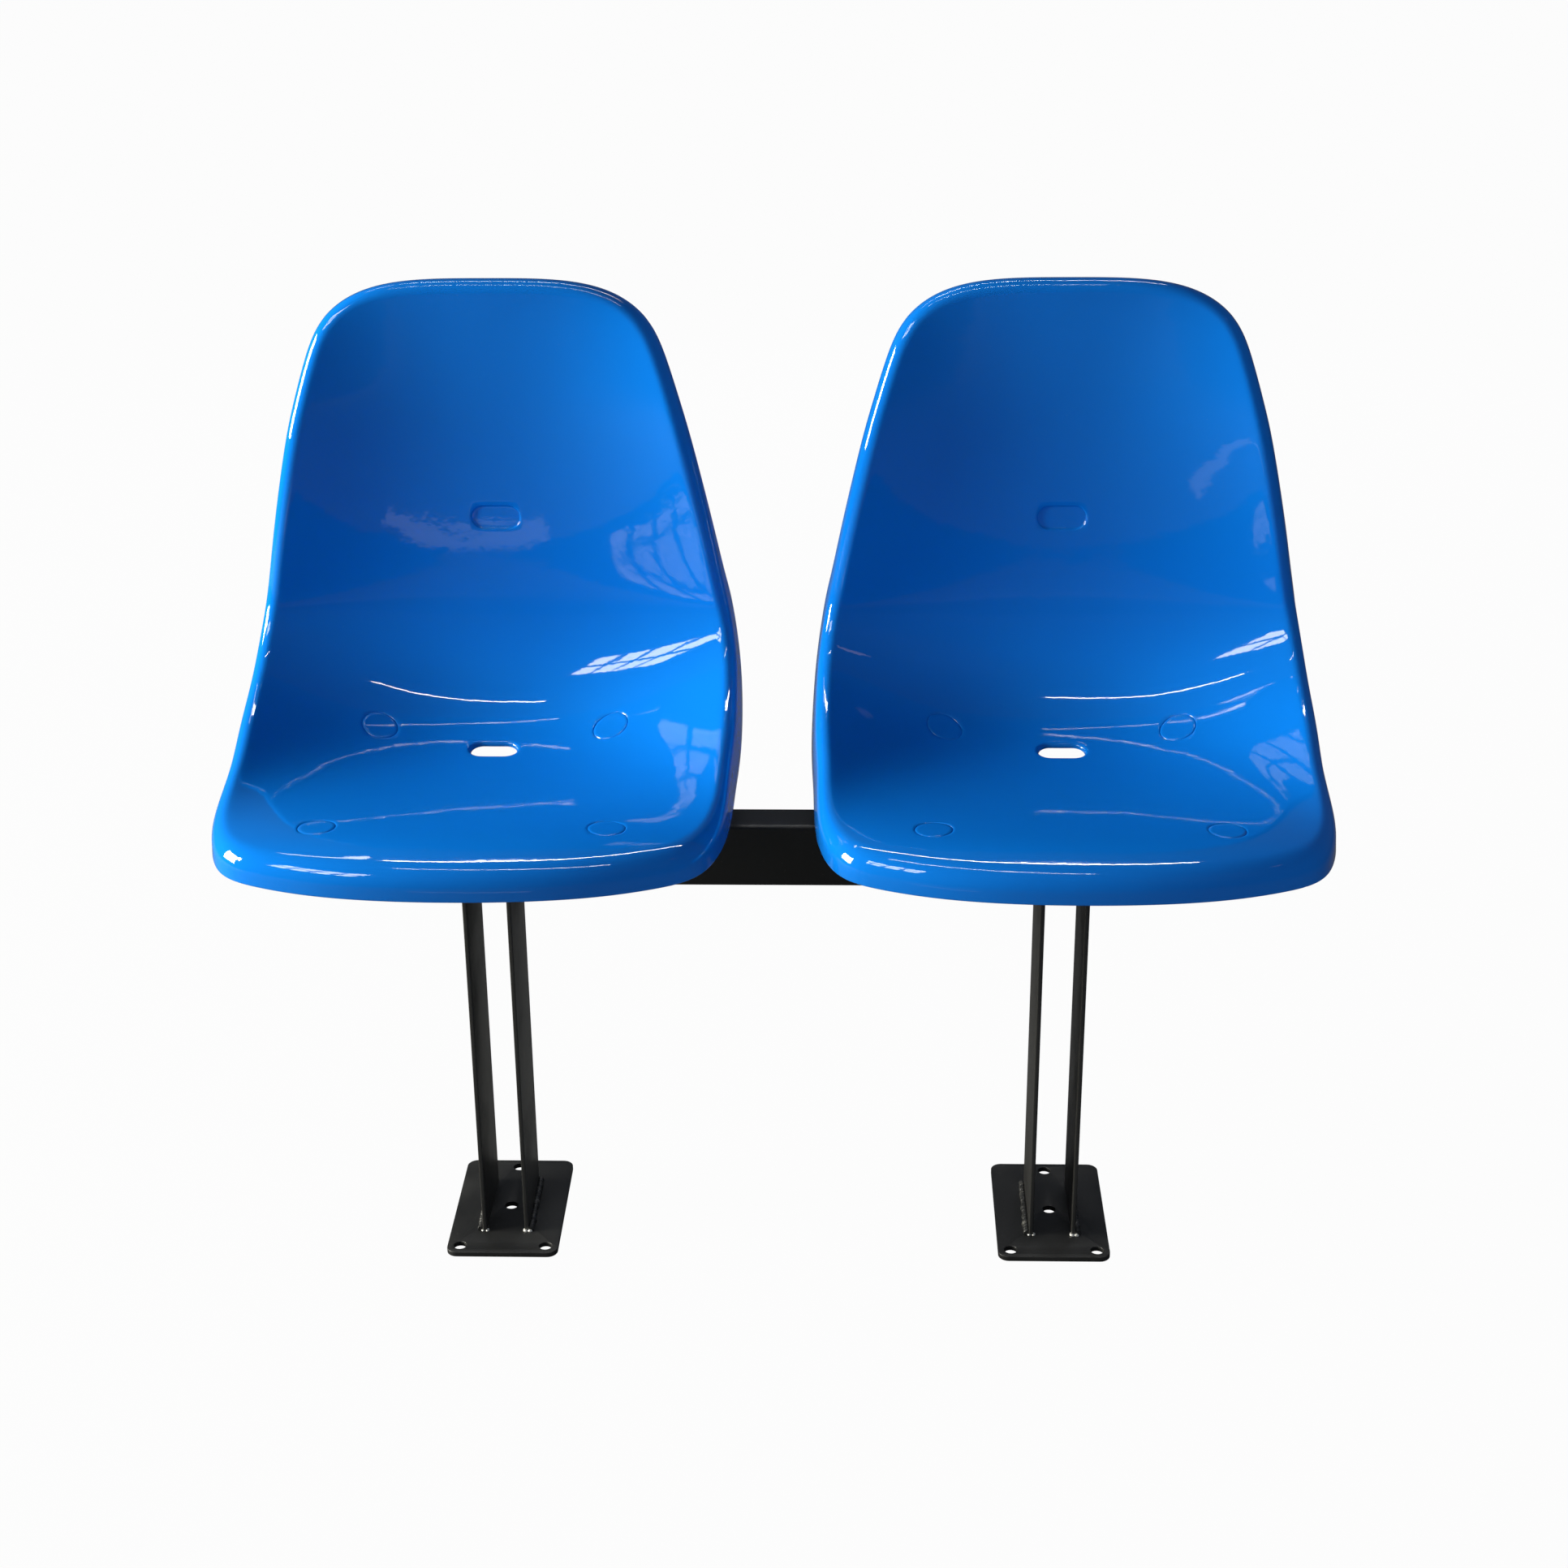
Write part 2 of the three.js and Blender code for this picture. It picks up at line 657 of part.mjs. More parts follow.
function addSeat(bench, name, side) {
  const seat = new THREE.Group();
  seat.position.set((side * seatPitch) / 2, 0, boltPlaneHeight);
  seat.add(part(`${name}_seat_shell`, seatShell(), "plastic"));
  for (const place of boltPlaces()) {
    const pieces = [
      part(`${name}_seat_${place.name}_insert`, insert(), "brass"),
      part(`${name}_seat_${place.name}_washer`, washer(), "zinc"),
      part(`${name}_seat_${place.name}_bolt`, bolt(), "zinc"),
    ];
    for (const piece of pieces) {
      piece.position.set(place.x, place.y, 0);
      seat.add(piece);
    }
  }
  for (const armSide of [-1, 1]) {
    const arm = new THREE.Group();
    const armName = `${name}_seat_${armSide < 0 ? "left" : "right"}_arm`;
    arm.position.set((armSide * (frontBoltSpread + rearBoltSpread)) / 4, armMiddle, 0);
    arm.rotation.z = armSide * armSplay;
    arm.add(part(armName, seatArm(armSide), "paint"));
    const weld = part(`${armName}_weld`, filletWeld(beamDepth - 2 * beamCorner), "paint");
    const webFace = -armSide * (armWidth / 2 - armSteel);
    weld.position.set(webFace, -armMiddle, -armWidth);
    if (armSide < 0) weld.rotation.z = Math.PI;
    arm.add(weld);
    seat.add(arm);
  }
  bench.add(seat);
}

function addLeg(bench, name, side) {
  const leg = new THREE.Group();
  leg.position.x = (side * seatPitch) / 2;
  leg.add(part(`${name}_foot_plate`, footPlate(), "paint"));
  for (const barSide of [-1, 1]) {
    const barName = `${name}_leg_${barSide < 0 ? "left" : "right"}_bar`;
    const bar = part(barName, legBar(), "paint");
    bar.position.x = (barSide * barPitch) / 2;
    leg.add(bar);
    const face = barSide * (barPitch / 2 + barSteel / 2);
    const footWeld = part(`${barName}_foot_weld`, filletWeld(barWidth - 2 * barEdge), "paint");
    footWeld.position.set(face, 0, plateSteel);
    footWeld.rotation.z = barSide < 0 ? Math.PI : 0;
    leg.add(footWeld);
    const beamWeld = part(`${barName}_beam_weld`, filletWeld(beamDepth - 2 * beamCorner), "paint");
    beamWeld.position.set(face, 0, beamBottom);
    beamWeld.rotation.set(0, barSide < 0 ? Math.PI : Math.PI / 2, 0);
    leg.add(beamWeld);
  }
  bench.add(leg);
}

function addBeam(bench) {
  const beam = part("beam", beamTube(), "paint");
  beam.position.z = beamBottom + beamHeight / 2;
  bench.add(beam);
  for (const side of [-1, 1]) {
    const cap = part(`beam_${side < 0 ? "left" : "right"}_cap`, beamCap(), "capPlastic");
    cap.position.set((side * (beamLength + capFlange)) / 2, 0, beam.position.z);
    if (side > 0) cap.rotation.z = Math.PI;
    bench.add(cap);
  }
}

const bench = new THREE.Group();
addSeat(bench, "left", -1);
addSeat(bench, "right", 1);
addBeam(bench);
addLeg(bench, "left", -1);
addLeg(bench, "right", 1);

// The origin moves to the floor below the middle of the bench.
const extent = new THREE.Box3().setFromObject(bench);
bench.position.y = -(extent.min.y + extent.max.y) / 2;
const stadiumSeat = new THREE.Group();
stadiumSeat.add(bench);
export default stadiumSeat;
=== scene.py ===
"""Looks for a pair of moulded stadium seats: glossy blue shells bolted to satin black welded steel."""
from contextlib import contextmanager
from math import atan2, ceil, cos, hypot, pi, radians, sin

import bmesh
import bpy
import numpy as np
from mathutils import Matrix, Vector


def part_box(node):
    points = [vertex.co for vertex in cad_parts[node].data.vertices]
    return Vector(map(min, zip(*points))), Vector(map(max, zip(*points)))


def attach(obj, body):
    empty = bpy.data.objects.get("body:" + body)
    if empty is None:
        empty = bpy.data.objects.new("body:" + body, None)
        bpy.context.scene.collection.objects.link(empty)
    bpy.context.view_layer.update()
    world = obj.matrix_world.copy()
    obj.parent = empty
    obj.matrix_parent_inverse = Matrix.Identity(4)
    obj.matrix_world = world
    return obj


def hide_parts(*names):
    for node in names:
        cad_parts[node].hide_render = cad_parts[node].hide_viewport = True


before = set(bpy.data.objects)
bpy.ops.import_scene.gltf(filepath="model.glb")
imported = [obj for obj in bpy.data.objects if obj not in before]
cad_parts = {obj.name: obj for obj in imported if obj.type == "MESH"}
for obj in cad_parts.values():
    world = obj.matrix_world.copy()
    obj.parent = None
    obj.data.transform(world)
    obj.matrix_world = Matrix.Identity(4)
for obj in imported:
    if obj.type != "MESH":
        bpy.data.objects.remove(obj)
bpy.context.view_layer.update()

mm = 0.001
X, Y, Z = Vector((1, 0, 0)), Vector((0, 1, 0)), Vector((0, 0, 1))

# Driving sizes of the bench and of a seat shell, from its bolting plane
seat_pitch = 520 * mm
bolt_plane_height = 460 * mm
seat_reach = 400 * mm
seat_rise = 415.9 * mm
seat_half_width = 207.9 * mm
shell_wall = 4.5 * mm
rim_roll = 10 * mm
lip_roll = 21 * mm
flange_drop = 22 * mm
flange_flare = radians(8)
lip_drop = 9.5 * mm
flange_edge_round = 0.8 * mm
corner_power = 6
corner_fade_power = 4

# Drain slot in the pan, blind oval in the back, and the faint rings that the bosses leave on the pan
drain_length = 42 * mm
drain_width = 22 * mm
drain_fillet = 4 * mm
drain_place = 54 * mm
recess_length = 45 * mm
recess_width = 22 * mm
recess_depth = 1.7 * mm
recess_edge = 0.5 * mm
recess_height = 195 * mm
ring_groove = 0.8 * mm
ring_depth = 0.65 * mm

# Bosses, ribs and fasteners
bolt_size = 8 * mm
boss_diameter = 32 * mm
boss_edge = 0.6 * mm
boss_rib = 3.5 * mm
root_share = 0.75
least_rib = 0.5 * mm
front_rib_level = 5 * mm
rear_rib_level = 24 * mm
middle_rib_level = -8 * mm
middle_rib_place = -70 * mm
rear_bolt_spread = 213 * mm
rear_bolt_place = 71 * mm
front_bolt_spread = 245 * mm
front_bolt_place = -154 * mm
insert_diameter = 12 * mm
insert_length = 10.5 * mm
insert_groove = 0.8 * mm
knurl_depth = 0.25 * mm
knurl_teeth = 24
knurl_lead = 20
washer_diameter = 20 * mm
washer_thickness = 1.6 * mm
washer_round = washer_thickness / 5
washer_round_middle = washer_round * 0.3
head_across_share = 1.625
head_height_share = 0.66
head_chamfer_share = 0.7
collar_chamfer_share = 0.35
shank_taper_share = 1.2
thread_pitch = 1.25 * mm
thread_depth = 0.6 * mm
fit_gap = 0.3 * mm

# Seat arms, each over a front and a rear bolt
arm_run = rear_bolt_place - front_bolt_place
arm_toe = (front_bolt_spread - rear_bolt_spread) / 2
arm_width = 40 * mm
arm_steel = 4 * mm
arm_bend = 2 * mm
arm_edge = 0.3 * mm
arm_overhang = 20 * mm
arm_tip_depth = 14 * mm
arm_hole_slack = 0.6 * mm
arm_corner = 6 * mm
arm_foot_spare = 12 * mm
arm_shoulder = 10 * mm

# Beam, caps, legs and feet
beam_wall = 2.5 * mm
beam_corner = 4 * mm
tube_edge = 0.2 * mm
cap_flange = 3 * mm
cap_wall = 2 * mm
cap_edge = 0.7 * mm
bar_edge = 0.8 * mm
bar_end_edge = 0.1 * mm
plate_corner = 10 * mm
plate_edge = 0.5 * mm
plate_hole = 12 * mm
plate_hole_inset = 12 * mm

# Weld beads, and the bright run-outs beside the bars' front feet
weld_leg = 5 * mm
bead_share = 0.6
bead_seeds = 97
stroke_share = 0.9
least_strokes = 4
bead_roughness = 1.2 * mm
lump_scale = 330.0
waver_rate = 9.0
least_swell = 0.38
stroke_swell = 0.22
runout_reach = 2.2 * mm
runout_height = 0.8 * mm
runout_drops = 3
first_drop_seed = 11
drop_radius = 1.8 * mm
smallest_drop = (0.5, 0.5, 0.35)
largest_drop = (1.3, 1.3, 0.9)

# Fineness of the meshes
seat_rows = 200
seat_columns = 100
roll_steps = 10
flange_steps = 4
round_steps = 48
corner_steps = 8
mouth_steps = 6
rib_steps = 40
shank_round_steps = 32
thread_steps = 6
knurl_round_steps = 96
land_steps = 8
bar_corner_steps = 4
bead_steps = 14
stroke_steps = 8.0
bevel_steps = 3
halvings = 40
station_step = 0.01
merge_distance = 0.001 * mm
rounded_angle = 60
sharp_angle = 35
bead_sharp_angle = 50

# Where the legs and the beam stand in the CAD model
beam_low, beam_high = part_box("beam")
bar_low, bar_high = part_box("left_leg_left_bar")
beam_depth = beam_high.y - beam_low.y
row_shift = (bar_low.y + bar_high.y) / 2


def operators(operation):
    """The two forms of an arithmetic sign: the field before it, and the field after it."""
    return (
        lambda field, other: field.nodes.math(operation, field, other),
        lambda field, other: field.nodes.math(operation, other, field),
    )


class Field:
    """A value or colour that varies over a surface. It adds and multiplies as a number does."""

    __add__, __radd__ = operators("ADD")
    __sub__, __rsub__ = operators("SUBTRACT")
    __mul__, __rmul__ = operators("MULTIPLY")

    def __init__(self, nodes, socket):
        self.nodes = nodes
        self.socket = socket


class Nodes:
    """A node tree that is put together node by node."""

    def __init__(self, tree):
        self.tree = tree
        tree.nodes.clear()

    def node(self, kind, settings, inputs, output=0):
        """Makes a node, sets its settings, then fills its sockets with values or links."""
        made = self.tree.nodes.new(kind)
        for key, value in settings.items():
            setattr(made, key, value)
        for key, value in inputs.items():
            if isinstance(value, Field):
                self.tree.links.new(value.socket, made.inputs[key])
            else:
                made.inputs[key].default_value = value
        return Field(self, made.outputs[output]) if made.outputs else None

    def math(self, operation, first, second=0.0):
        return self.node("ShaderNodeMath", {"operation": operation}, {0: first, 1: second})

    def ray(self, kind):
        """1 for rays of the kind, else 0."""
        return self.node("ShaderNodeLightPath", {}, {}, f"Is {kind} Ray")

    def seen_directly(self):
        """1 for what the camera sees, plainly or through glass, else 0."""
        return self.math("MAXIMUM", self.ray("Camera"), self.ray("Transmission"))


class Finish(Nodes):
    """One material on the bench."""

    def __init__(self, name):
        self.material = bpy.data.materials.new(name)
        self.material.use_nodes = True
        super().__init__(self.material.node_tree)
        self.place = self.node("ShaderNodeTexCoord", {}, {}, "Object")

    def noise(self, scale, detail=2.0, stretch=(1, 1, 1), roughness=0.5):
        """Cloudy noise in the object's own space, `scale` clouds to the metre."""
        spot = self.node("ShaderNodeVectorMath", {"operation": "MULTIPLY"}, {0: self.place, 1: stretch})
        inputs = {"Vector": spot, "Scale": scale, "Detail": detail, "Roughness": roughness}
        return self.node("ShaderNodeTexNoise", {}, inputs)

    def step(self, value, low, high):
        """Rises smoothly from 0 to 1 while the value goes from low to high."""
        inputs = {"Value": value, "From Min": low, "From Max": high}
        return self.node("ShaderNodeMapRange", {"interpolation_type": "SMOOTHSTEP"}, inputs)

    def blend(self, factor, first, second):
        """Mixes two colours."""
        inputs = {"Factor": factor, 6: first, 7: second}
        return self.node("ShaderNodeMix", {"data_type": "RGBA"}, inputs, 2)

    def bump(self, height, distance, strength, under=None):
        """Unevenness of the given distance, on top of another if one is given."""
        inputs = {"Height": height, "Distance": distance, "Strength": strength}
        if under:
            inputs["Normal"] = under
        return self.node("ShaderNodeBump", {}, inputs)

    def surface(self, base, rough, bump=None, **others):
        """Closes the material with one principled shader."""
        inputs = {"Base Color": base, "Roughness": rough, **others}
        if bump:
            inputs["Normal"] = bump
        return self.closed(self.node("ShaderNodeBsdfPrincipled", {}, inputs, "BSDF"))

    def closed(self, shader):
        self.node("ShaderNodeOutputMaterial", {}, {"Surface": shader})
        return self.material


def colour(red, green, blue):
    return (red, green, blue, 1.0)


def blue_moulding():
    """High-gloss blue polyethylene: deep colour, a wet-looking skin, flow marks, scuffs and dust."""
    finish = Finish("blue_moulding")
    cloud = finish.noise(7, 3)
    flow = finish.noise(38, 4, (1, 0.35, 0.35))
    scuff = finish.step(finish.noise(240, 6, (1, 0.16, 0.16), 0.7), 0.66, 0.8)
    worn = finish.step(finish.noise(16, 3), 0.5, 0.72)
    dust = finish.step(finish.noise(900, 2), 0.74, 0.8)
    base = finish.blend(cloud, colour(0.002, 0.150, 0.60), colour(0.003, 0.168, 0.65))
    base = finish.blend(dust * 0.10, base, colour(0.45, 0.55, 0.70))
    rough = 0.025 + flow * 0.03 + scuff * worn * 0.14
    peel = finish.bump(finish.noise(110, 2), 0.00006, 0.5)
    peel = finish.bump(finish.noise(30, 3), 0.0004, 0.4, peel)
    peel = finish.bump(finish.noise(11, 2), 0.0009, 0.35, peel)
    return finish.surface(base, rough, peel, IOR=1.5)


def black_paint(name, bare_tone):
    """Satin black paint on hot-rolled steel: a slight orange peel, dust film and small pale specks. The
    tone given is the paint's own, but for the bars it is lighter, as painted sheen.
    """
    finish = Finish(name)
    film = finish.step(finish.noise(11, 4), 0.42, 0.75)
    speck = finish.step(finish.noise(420, 3), 0.70, 0.76)
    rub = finish.step(finish.noise(70, 5, (1, 1, 0.25)), 0.60, 0.75)
    base = finish.blend(film * 0.5, bare_tone, colour(0.020, 0.0195, 0.0185))
    base = finish.blend(speck * 0.35, base, colour(0.16, 0.155, 0.145))
    rough = 0.40 + film * 0.14 - rub * 0.06 + speck * 0.2
    peel = finish.bump(finish.noise(310, 3), 0.00012, 0.5)
    return finish.surface(base, rough, peel)


def weld_metal():
    """Painted weld bead: ripples of scale under a thin coat, greyer than the bars."""
    finish = Finish("weld_metal")
    scale = finish.noise(260, 4)
    bare = finish.step(finish.noise(90, 3), 0.55, 0.68)
    base = finish.blend(bare, colour(0.013, 0.013, 0.013), colour(0.075, 0.073, 0.068))
    rough = 0.42 + scale * 0.2
    crust = finish.bump(scale, 0.0006, 0.7)
    return finish.surface(base, rough, crust, Metallic=bare * 0.5)


def bright_metal():
    """Bare drops of weld metal that the paint didn't hold to."""
    finish = Finish("bright_metal")
    tarnish = finish.noise(500, 3)
    base = finish.blend(tarnish, colour(0.85, 0.83, 0.78), colour(0.50, 0.48, 0.46))
    return finish.surface(base, 0.2 + tarnish * 0.2, Metallic=0.4)


def zinc_plate():
    """Bright zinc on the fasteners, with a faint spangle and darker scale in its hollows."""
    finish = Finish("zinc_plate")
    spangle = finish.noise(650, 3)
    base = finish.blend(spangle, colour(0.60, 0.61, 0.64), colour(0.76, 0.76, 0.75))
    rough = 0.26 + finish.noise(240, 3) * 0.18
    grain = finish.bump(finish.noise(1400, 2), 0.00004, 0.5)
    return finish.surface(base, rough, grain, Metallic=1.0)


def turned_brass():
    """Plain turned brass with fine tool rings across its height."""
    finish = Finish("turned_brass")
    rings = finish.noise(90, 2, (1, 1, 60))
    base = finish.blend(rings, colour(0.58, 0.42, 0.17), colour(0.70, 0.53, 0.24))
    return finish.surface(base, 0.24 + rings * 0.16, Metallic=1.0)


def cap_moulding():
    """Matte black moulding with a fine spark-eroded grain."""
    finish = Finish("cap_moulding")
    grain = finish.noise(900, 3)
    base = finish.blend(finish.noise(30, 3), colour(0.010, 0.010, 0.011), colour(0.018, 0.018, 0.019))
    return finish.surface(base, 0.5 + grain * 0.15, finish.bump(grain, 0.00012, 0.6))


blue = blue_moulding()
paint = black_paint("black_paint", colour(0.0065, 0.0067, 0.007))
# The bars' copy of the same paint, about three times lighter than the beam's: painted sheen for the
# light their faces reflect.
bar_paint = black_paint("bar_paint", colour(0.023, 0.0225, 0.0215))
bead_finish = weld_metal()
spatter_finish = bright_metal()
zinc = zinc_plate()
brass = turned_brass()
cap_finish = cap_moulding()


def in_scene(name, data):
    """A new object with this mesh, curve, lamp or camera, linked to the scene."""
    made = bpy.data.objects.new(name, data)
    bpy.context.scene.collection.objects.link(made)
    return made


def shaded(mesh, angle):
    """Smooth shading but for edges sharper than the angle in degrees."""
    mesh.shade_smooth()
    mesh.set_sharp_from_angle(angle=radians(angle))


def dressed(name, mesh, finish, angle=sharp_angle):
    """A piece from a mesh, in one finish."""
    mesh.name = name
    mesh.materials.clear()
    mesh.materials.append(finish)
    shaded(mesh, angle)
    return in_scene(name, mesh)


def mesh_piece(name, points, faces, finish):
    """A piece from points and faces."""
    mesh = bpy.data.meshes.new(name)
    mesh.from_pydata([tuple(p) for p in points], [], [tuple(map(int, f)) for f in faces])
    return dressed(name, mesh, finish)


def drop(piece):
    """Takes a helper object out of the scene."""
    bpy.data.objects.remove(piece, do_unlink=True)


def evaluated_mesh(piece):
    """The piece's mesh with its modifiers applied."""
    bpy.context.view_layer.update()
    depsgraph = bpy.context.evaluated_depsgraph_get()
    return bpy.data.meshes.new_from_object(piece.evaluated_get(depsgraph), depsgraph=depsgraph)


def combined(piece, tools, operation):
    """The piece joined with, cut by or trimmed to the tools, which are used up."""
    for tool in tools:
        cut = piece.modifiers.new(operation.lower(), "BOOLEAN")
        cut.operation = operation
        cut.solver = "MANIFOLD"
        cut.object = tool
    mesh = evaluated_mesh(piece)
    name, finish = piece.name, piece.data.materials[0]
    for used in (*tools, piece):
        drop(used)
    return dressed(name, mesh, finish)


def fitted(piece, slot, nodes, matrix=None):
    """Moves the mesh to its place and hands the piece over as the stand-in for its CAD nodes."""
    if matrix is not None:
        piece.data.transform(matrix)
    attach(piece, "root")
    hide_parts(*nodes)


@contextmanager
def mesh_work(mesh):
    """The mesh opened for work on its edges and faces, and written back afterwards."""
    work = bmesh.new()
    work.from_mesh(mesh)
    yield work
    work.to_mesh(mesh)
    work.free()


def outwards(mesh):
    """Turns all faces of a closed mesh outwards."""
    with mesh_work(mesh) as work:
        bmesh.ops.remove_doubles(work, verts=work.verts, dist=merge_distance)
        bmesh.ops.recalc_face_normals(work, faces=work.faces)


def round_edge(mesh, numbers, radius):
    """Rounds the sharp edges that run between the numbered points."""
    with mesh_work(mesh) as work:
        edges = [
            edge for edge in work.edges
            if all(end.index in numbers for end in edge.verts)
            and len(edge.link_faces) == 2 and edge.calc_face_angle(0) > radians(rounded_angle)
        ]
        rounding = {"offset": radius, "segments": bevel_steps, "profile": 0.5, "affect": "EDGES"}
        bmesh.ops.bevel(work, geom=edges, **rounding)
    shaded(mesh, sharp_angle)


def basis(x_axis, y_axis, z_axis, origin):
    """The matrix that sends X, Y and Z to the three axes and zero to the origin."""
    matrix = Matrix((x_axis, y_axis, z_axis)).transposed().to_4x4()
    matrix.translation = origin
    return matrix


def round_pairs(ring):
    """Each member of a closed ring with the next."""
    return zip(ring, [*ring[1:], ring[0]])


def ring_faces(count, rings):
    """Quads between rings of equal count that lie one after the other."""
    return [
        (first + a, first + b, first + count + b, first + count + a)
        for first in range(0, (rings - 1) * count, count)
        for a, b in round_pairs(range(count))
    ]


def unit(vectors):
    return vectors / np.linalg.norm(vectors, axis=1)[:, None]


def square_to(vectors, way):
    return vectors - way * np.sum(vectors * way, 1)[:, None]


# The seat's form: for each station down the middle line, where that line runs and where the rim lies.
# Shares of seat_reach and seat_rise for middle and rim, shares of seat_half_width for the rim's half
# width, how sharply the section turns up towards the rim, and shares of flange_drop.
middle_reach_shares = [
    0.35, 0.353, 0.356, 0.359, 0.362, 0.368, 0.372, 0.362, 0.33,
    0.275, 0.195, 0.09, -0.045, -0.18, -0.31, -0.42, -0.49, -0.54,
]
middle_rise_shares = [
    0.972, 0.93, 0.865, 0.77, 0.66, 0.47, 0.345, 0.235, 0.135,
    0.064, 0.02, 0.003, 0.009, 0.025, 0.043, 0.054, 0.052, 0.04,
]
rim_reach_shares = [
    0.318, 0.31, 0.302, 0.29, 0.283, 0.288, 0.293, 0.285, 0.225,
    0.13, 0.03, -0.07, -0.17, -0.26, -0.34, -0.4, -0.435, -0.455,
]
rim_rise_shares = [
    0.928, 0.885, 0.82, 0.735, 0.64, 0.46, 0.33, 0.26, 0.182,
    0.134, 0.098, 0.072, 0.055, 0.047, 0.043, 0.04, 0.038, 0.036,
]
rim_width_shares = [
    0.72, 0.728, 0.745, 0.78, 0.822, 0.9, 0.948, 0.982, 1.004,
    1.009, 1.008, 1.002, 1.002, 0.996, 0.98, 0.96, 0.945, 0.93,
]
turn_up_powers = [
    3.4, 3, 2.7, 2.4, 2.3, 2.2, 2.2, 2.2, 2.2,
    2.2, 2.2, 2.2, 2.2, 2.2, 2.3, 2.2, 2.1, 2.1,
]
flange_drop_shares = [
    0.3, 0.3, 0.3, 0.3, 0.32, 0.4, 0.6, 0.9, 1.25,
    1.35, 1.3, 1.2, 1.05, 0.9, 0.8, 0.72, 0.65, 0.6,
]

# Parts of the way from the top of the back to the front lip: the pan, the back, and the blend to the lip
pan_stations = (0.42, 1)
back_stations = (0, 0.45)
lip_blend_share = 0.36

# Profiles of the blind oval's edge and of a ring, from outside to inside: shares of width and of depth
recess_profile = [(1.6, 0), (1, -0.1), (0.5, -0.35), (-0.3, -0.8), (-0.9, -0.97), (-1.6, -1), (-5, -1)]
ring_profile = [(1, 0), (0.5, -0.3), (0, -1), (-0.5, -0.3), (-1, 0), (-4, 0)]

# Rings of faces on the way from the net to a feature's outline, and from there to its centre, and how
# many of the net's cells at least are given up beyond the outline on each side
lead_in_shares = (0.35, 0.7)
closing_shares = (0.6, 0.3, 0.08)
clear_cells = 1.2


def along(shares, t):
    """A curve of even bend through the shares, for t from 0 at the first to 1 at the last."""
    shares = np.array(shares, float)
    control = shares.copy()
    control[1:-1] -= (shares[:-2] - 2 * shares[1:-1] + shares[2:]) / 6
    control = np.concatenate([[2 * control[0] - control[1]], control, [2 * control[-1] - control[-2]]])
    place = np.clip(t, 0, 1) * (len(shares) - 1)
    k = np.minimum(np.floor(place).astype(int), len(shares) - 2)
    f = place - k
    return (
        (1 - f) ** 3 * control[k]
        + (3 * f ** 3 - 6 * f ** 2 + 4) * control[k + 1]
        + (1 + 3 * f + 3 * f ** 2 - 3 * f ** 3) * control[k + 2]
        + f ** 3 * control[k + 3]
    ) / 6


def sitting_points(t, u):
    """Points of the sitting face: t runs from the back's top to the front lip, u from side to side."""
    t, u = np.broadcast_arrays(np.asarray(t, float), np.asarray(u, float))
    turn_up = np.abs(u) ** along(turn_up_powers, t)
    middle_y = along(middle_reach_shares, t) * seat_reach
    middle_z = along(middle_rise_shares, t) * seat_rise
    rim_y = along(rim_reach_shares, t) * seat_reach
    rim_z = along(rim_rise_shares, t) * seat_rise
    x = u * along(rim_width_shares, t) * seat_half_width
    y = middle_y + (rim_y - middle_y) * turn_up
    return np.stack([x, y, middle_z + (rim_z - middle_z) * turn_up], -1)


def net_places(rows, columns):
    """The places t and u of a net's crossings, its four corners drawn in so that its edge is round."""
    down = np.linspace(-1, 1, rows + 1)[:, None] + np.zeros(columns + 1)
    across = np.linspace(-1, 1, columns + 1)[None, :] + np.zeros((rows + 1, 1))
    far = np.maximum(np.maximum(abs(down), abs(across)), 1e-6)
    round_far = (abs(down) ** corner_power + abs(across) ** corner_power) ** (1 / corner_power)
    drawn = 1 + (far / np.maximum(round_far, far) - 1) * far ** corner_fade_power
    return (1 + down * drawn) / 2, across * drawn


def points_over(x, value, axis, stations):
    """Points of the sitting face at x whose y (axis 1) or z (axis 2) has the value, between stations."""
    x = np.asarray(x, float)
    low, high = (np.full(x.shape, float(station)) for station in stations)
    for _ in range(halvings):
        t = (low + high) / 2
        points = sitting_points(t, x / (along(rim_width_shares, t) * seat_half_width))
        above = points[..., axis] > value
        low = np.where(above, t, low)
        high = np.where(above, high, t)
    return points


class Feature:
    """A long oval or a circle worked into the sitting face, as rings of growing or shrinking outline."""

    def __init__(self, x, value, axis, stations, length, width, rings, through=False):
        self.x = x
        self.value = value
        self.axis = axis
        self.stations = stations
        self.radius = width / 2
        self.run = (length - width) / 2
        self.rings = rings
        self.through = through
        self.foreshortening = 1
        self.foreshortening = mm / np.linalg.norm(self.middle(mm) - self.middle())

    def middle(self, up=0.0):
        """The feature's centre on the sitting face, or the point that far above it."""
        return self.points(np.array([[0.0, up]]))[0]

    def points(self, flat):
        """Points of the sitting face at places drawn flat on it, from the feature's centre."""
        value = self.value + flat[:, 1] * self.foreshortening
        return points_over(self.x + flat[:, 0], value, self.axis, self.stations)

    def flat(self, point):
        """Where a point of the sitting face lies on the feature's flat drawing."""
        return np.array([point[0] - self.x, (point[self.axis] - self.value) / self.foreshortening])

    def outline(self, toward, grown):
        """For each flat place, the nearest place on the outline grown by so much."""
        core = np.stack([np.clip(toward[:, 0], -self.run, self.run), np.zeros(len(toward))], 1)
        return core + unit(toward - core) * (self.radius + grown)


def bolt_places():
    """The four bolt places of a seat: name of row and side, side, x and y."""
    for side, side_name in ((-1, "left"), (1, "right")):
        yield f"front_{side_name}", side, side * front_bolt_spread / 2, front_bolt_place
        yield f"rear_{side_name}", side, side * rear_bolt_spread / 2, rear_bolt_place


